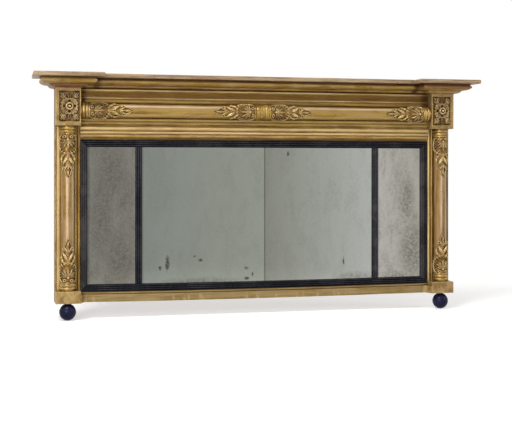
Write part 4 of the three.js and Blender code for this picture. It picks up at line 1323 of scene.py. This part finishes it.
def rosette_relief(width, height):
    """The panel casting: x across, y up, heights over its ground."""
    half_x, half_y = width / 2, height / 2
    relief = Relief((-half_x, half_x), (-half_y, half_y), cell, 6.0)
    radius = np.hypot(relief.grid_x, relief.grid_y)
    turn = np.arctan2(relief.grid_y, relief.grid_x)
    scallops = 26.5 + 1.8 * np.cos(4 * turn + math.pi) + 1.3 * np.cos(16 * turn)
    relief.lay(np.where(radius < scallops, 11.0 + 3.0 * (radius / 26) ** 2, -1e9))
    for sx in (1, -1):
        for sy in (1, -1):
            heel = (sx * 15, sy * 25)
            for tip_x, tip_y in ((28, 44), (17, 45), (29, 33)):
                relief.leaf([heel, (sx * tip_x, sy * tip_y)], 11, 21, vein=0.4, base=0.6, club=1.0)
            petal = [(sx * 6, sy * 6), (sx * 19, sy * 21)]
            relief.leaf(petal, 17, 17, vein=0, base=0.5, club=1.0, cupped=True)
            relief.leaf([(sx * 8, sy * 8), (sx * 18, sy * 20)], 5, 15, vein=0.3)
            relief.leaf([(0, 0), (sx * 9.5, sy * 9.5)], 8, 19, vein=0.0, base=0.9)
        relief.leaf([(sx * 21, 0), (sx * 30, 0)], 10, 15, vein=0.4)
        relief.leaf([(0, sx * 20), (0, sx * 41)], 14, 15, vein=0.4, lobes=2)
    relief.height = np.where(radius < 7.0, 13.0, relief.height)
    ring = 20.5 - 0.5 * (radius - 9.2) ** 2 + 1.2 * np.cos(turn - 2.4)
    relief.lay(np.where(np.abs(radius - 9.2) < 2.6, ring, -1e9))
    relief.knob(0, 0, 4.4, 4.0, foot=18.0)
    for quarter in range(4):
        turned_by = quarter * math.pi / 2
        relief.drill(15.8 * math.cos(turned_by), 15.8 * math.sin(turned_by), 4.0, 0.5)
    rim = (np.abs(relief.grid_x) > half_x - cell) | (np.abs(relief.grid_y) > half_y - cell)
    relief.height = np.where(rim, 5.5, relief.height)
    return relief


for side in ("left", "right"):
    node = "rosette_" + side
    low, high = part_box(node)
    relief = rosette_relief((high.x - low.x) / mm, (high.z - low.z) / mm)
    middle = (low + high) / 2
    casting = relief_piece(
        node + "_cast",
        relief,
        lambda x, y, h: Vector((middle.x + x * mm, high.y - h * mm, middle.z + y * mm)),
        0.0,
    )
    finish_mesh(casting, panel_gilding, 180)
    put_in(casting, node)


# ---------------------------------------------------------------------------------- cornice
# A bed moulding of fillet, hollow and ovolo is mitred round both blocks and across the frieze.
# Over it lies a thin board with a break forward over each block; its top was never gilt.

bed_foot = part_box("cornice_centre")[0].z
# painted shadow under the slab
slab_shadow = (z_axis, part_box("cornice_slab")[0].z - 2 * mm, 7 * mm, dark_dirt_and_shade)
shaded_brown = (0.150, 0.060, 0.036, 1)
# painted shade, where light falling from the left leaves it: under the ovolo of the left break,
# on the ovolo itself of the right break, and in the centre beside both breaks
cornice_shades = {
    "left": [slab_shadow, (z_axis, bed_foot + 5 * mm, 12 * mm, shaded_brown)],
    "centre": [slab_shadow] + [
        (x_axis, side * (inner_corner - 50 * mm), 16 * mm, dark_dirt_and_shade) for side in (-1, 1)
    ],
    "right": [slab_shadow, (z_axis, bed_foot + 24 * mm, 11 * mm, shaded_brown)],
}
cornice_gildings = {}
for place, lines in cornice_shades.items():
    cornice_gildings[place] = gold_leaf(
        place + "_cornice_gilding",
        x_axis,
        bole=0.8,
        rose=0.8,
        pale=0.8,
        hollow_shade=0.3,
        crevice_dirt_and_shade=0.35,
        lines=lines,
    )
slab_colours = ((0.190, 0.120, 0.075, 1), (0.350, 0.262, 0.170, 1))
slab_gilding = gold_leaf(
    "slab_gilding", x_axis, slab_colours, bole=0.9, rose=0.35, pale=0.25, rub=0.5, shine=0.05
)
bed_outline = outline_across("cornice_centre", x_axis)
block_low, block_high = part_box("corner_block_right")
wall_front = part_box("carcase_rail_top")[0].y
bed_section = [(wall_front - y, z) for y, z in softened(bed_outline, 0.7 * mm)]


def bed_moulding(node, plan):
    """Runs the bed moulding round a plan of the wall line, mitred at its corners."""
    legs = [(b - a).normalized() for a, b in zip(plan, plan[1:])]
    outs = [Vector((way.y, -way.x)) for way in legs]
    mitres = [outs[0]] + [(a + b) / (1 + a.dot(b)) for a, b in zip(outs, outs[1:])] + [outs[-1]]
    rings = []
    for k, way in enumerate(legs):
        steps = max(2, round((plan[k + 1] - plan[k]).length / ring_spacing))
        for step in range(steps + (k == len(legs) - 1)):
            t = step / steps
            here = plan[k].lerp(plan[k + 1], t)
            out = mitres[k].lerp(mitres[k + 1], t)
            rings.append([Vector((here.x + out.x * u, here.y + out.y * u, z)) for u, z in bed_section])
    run = lofted(node + "_run", rings, 0.3 * mm)
    finish_mesh(run, cornice_gildings[node.removeprefix("cornice_")])
    put_in(run, node)


outer, inner, front = block_high.x, block_low.x, block_low.y
half_gap = seat / 2
right_plan = [
    Vector((inner + half_gap, wall_front)),
    Vector((inner, front)),
    Vector((outer, front)),
    Vector((outer, 0.0)),
]
left_plan = [Vector((-p.x, p.y)) for p in reversed(right_plan)]
bed_moulding("cornice_left", left_plan)
bed_moulding("cornice_right", right_plan)
run_and_finish("cornice_centre", x_axis, cornice_gildings["centre"], "gilding", 0.7 * mm, 0.3 * mm)

slab = eased_copy("cornice_slab", 0.8 * mm, slice_every=12 * mm, out_of_true=0.4 * mm)
finish_mesh(slab, slab_gilding)
slab.data.materials.append(old_pine("pine_cornice_top", x_axis, grime=0.8))
for face in slab.data.polygons:
    if face.normal.z > 0.9:
        face.material_index = 1
put_in(slab, "cornice_slab")


# ---------------------------------------------------------------------------------- hangers
# A brass strap is screwed to the back of each stile, its end rolled round the straight bar of
# a D-shaped ring, which swings freely.


def old_brass(name):
    """Unlacquered brass, dulled to brown in patches."""
    material, tree, shader = new_material(name)
    places = row_frame_places(tree)
    dull = between(tree, noise_at(tree, places, 120.0, 6.0, 0.7), 0.32, 0.62)
    colour = colour_mix(tree, dull, (0.47, 0.315, 0.115, 1), (0.15, 0.088, 0.038, 1))
    tree.links.new(colour, shader.inputs["Base Color"])
    tree.links.new(between(tree, dull, 0.0, 1.0, 0.28, 0.55), shader.inputs["Roughness"])
    shader.inputs["Metallic"].default_value = 1.0
    bump(tree, shader, noise_at(tree, places, 500.0, 3.0), 0.06 * mm, 0.5)
    return material


brass = old_brass("old_brass")
for side in ("left", "right"):
    strap = eased_copy("hanger_strap_" + side, 0.25 * mm, out_of_true=0.05 * mm)
    finish_mesh(strap, brass, 40)
    put_in(strap, "hanger_strap_" + side)
    nodes["hanger_ring_" + side].data.materials.clear()
    nodes["hanger_ring_" + side].data.materials.append(brass)
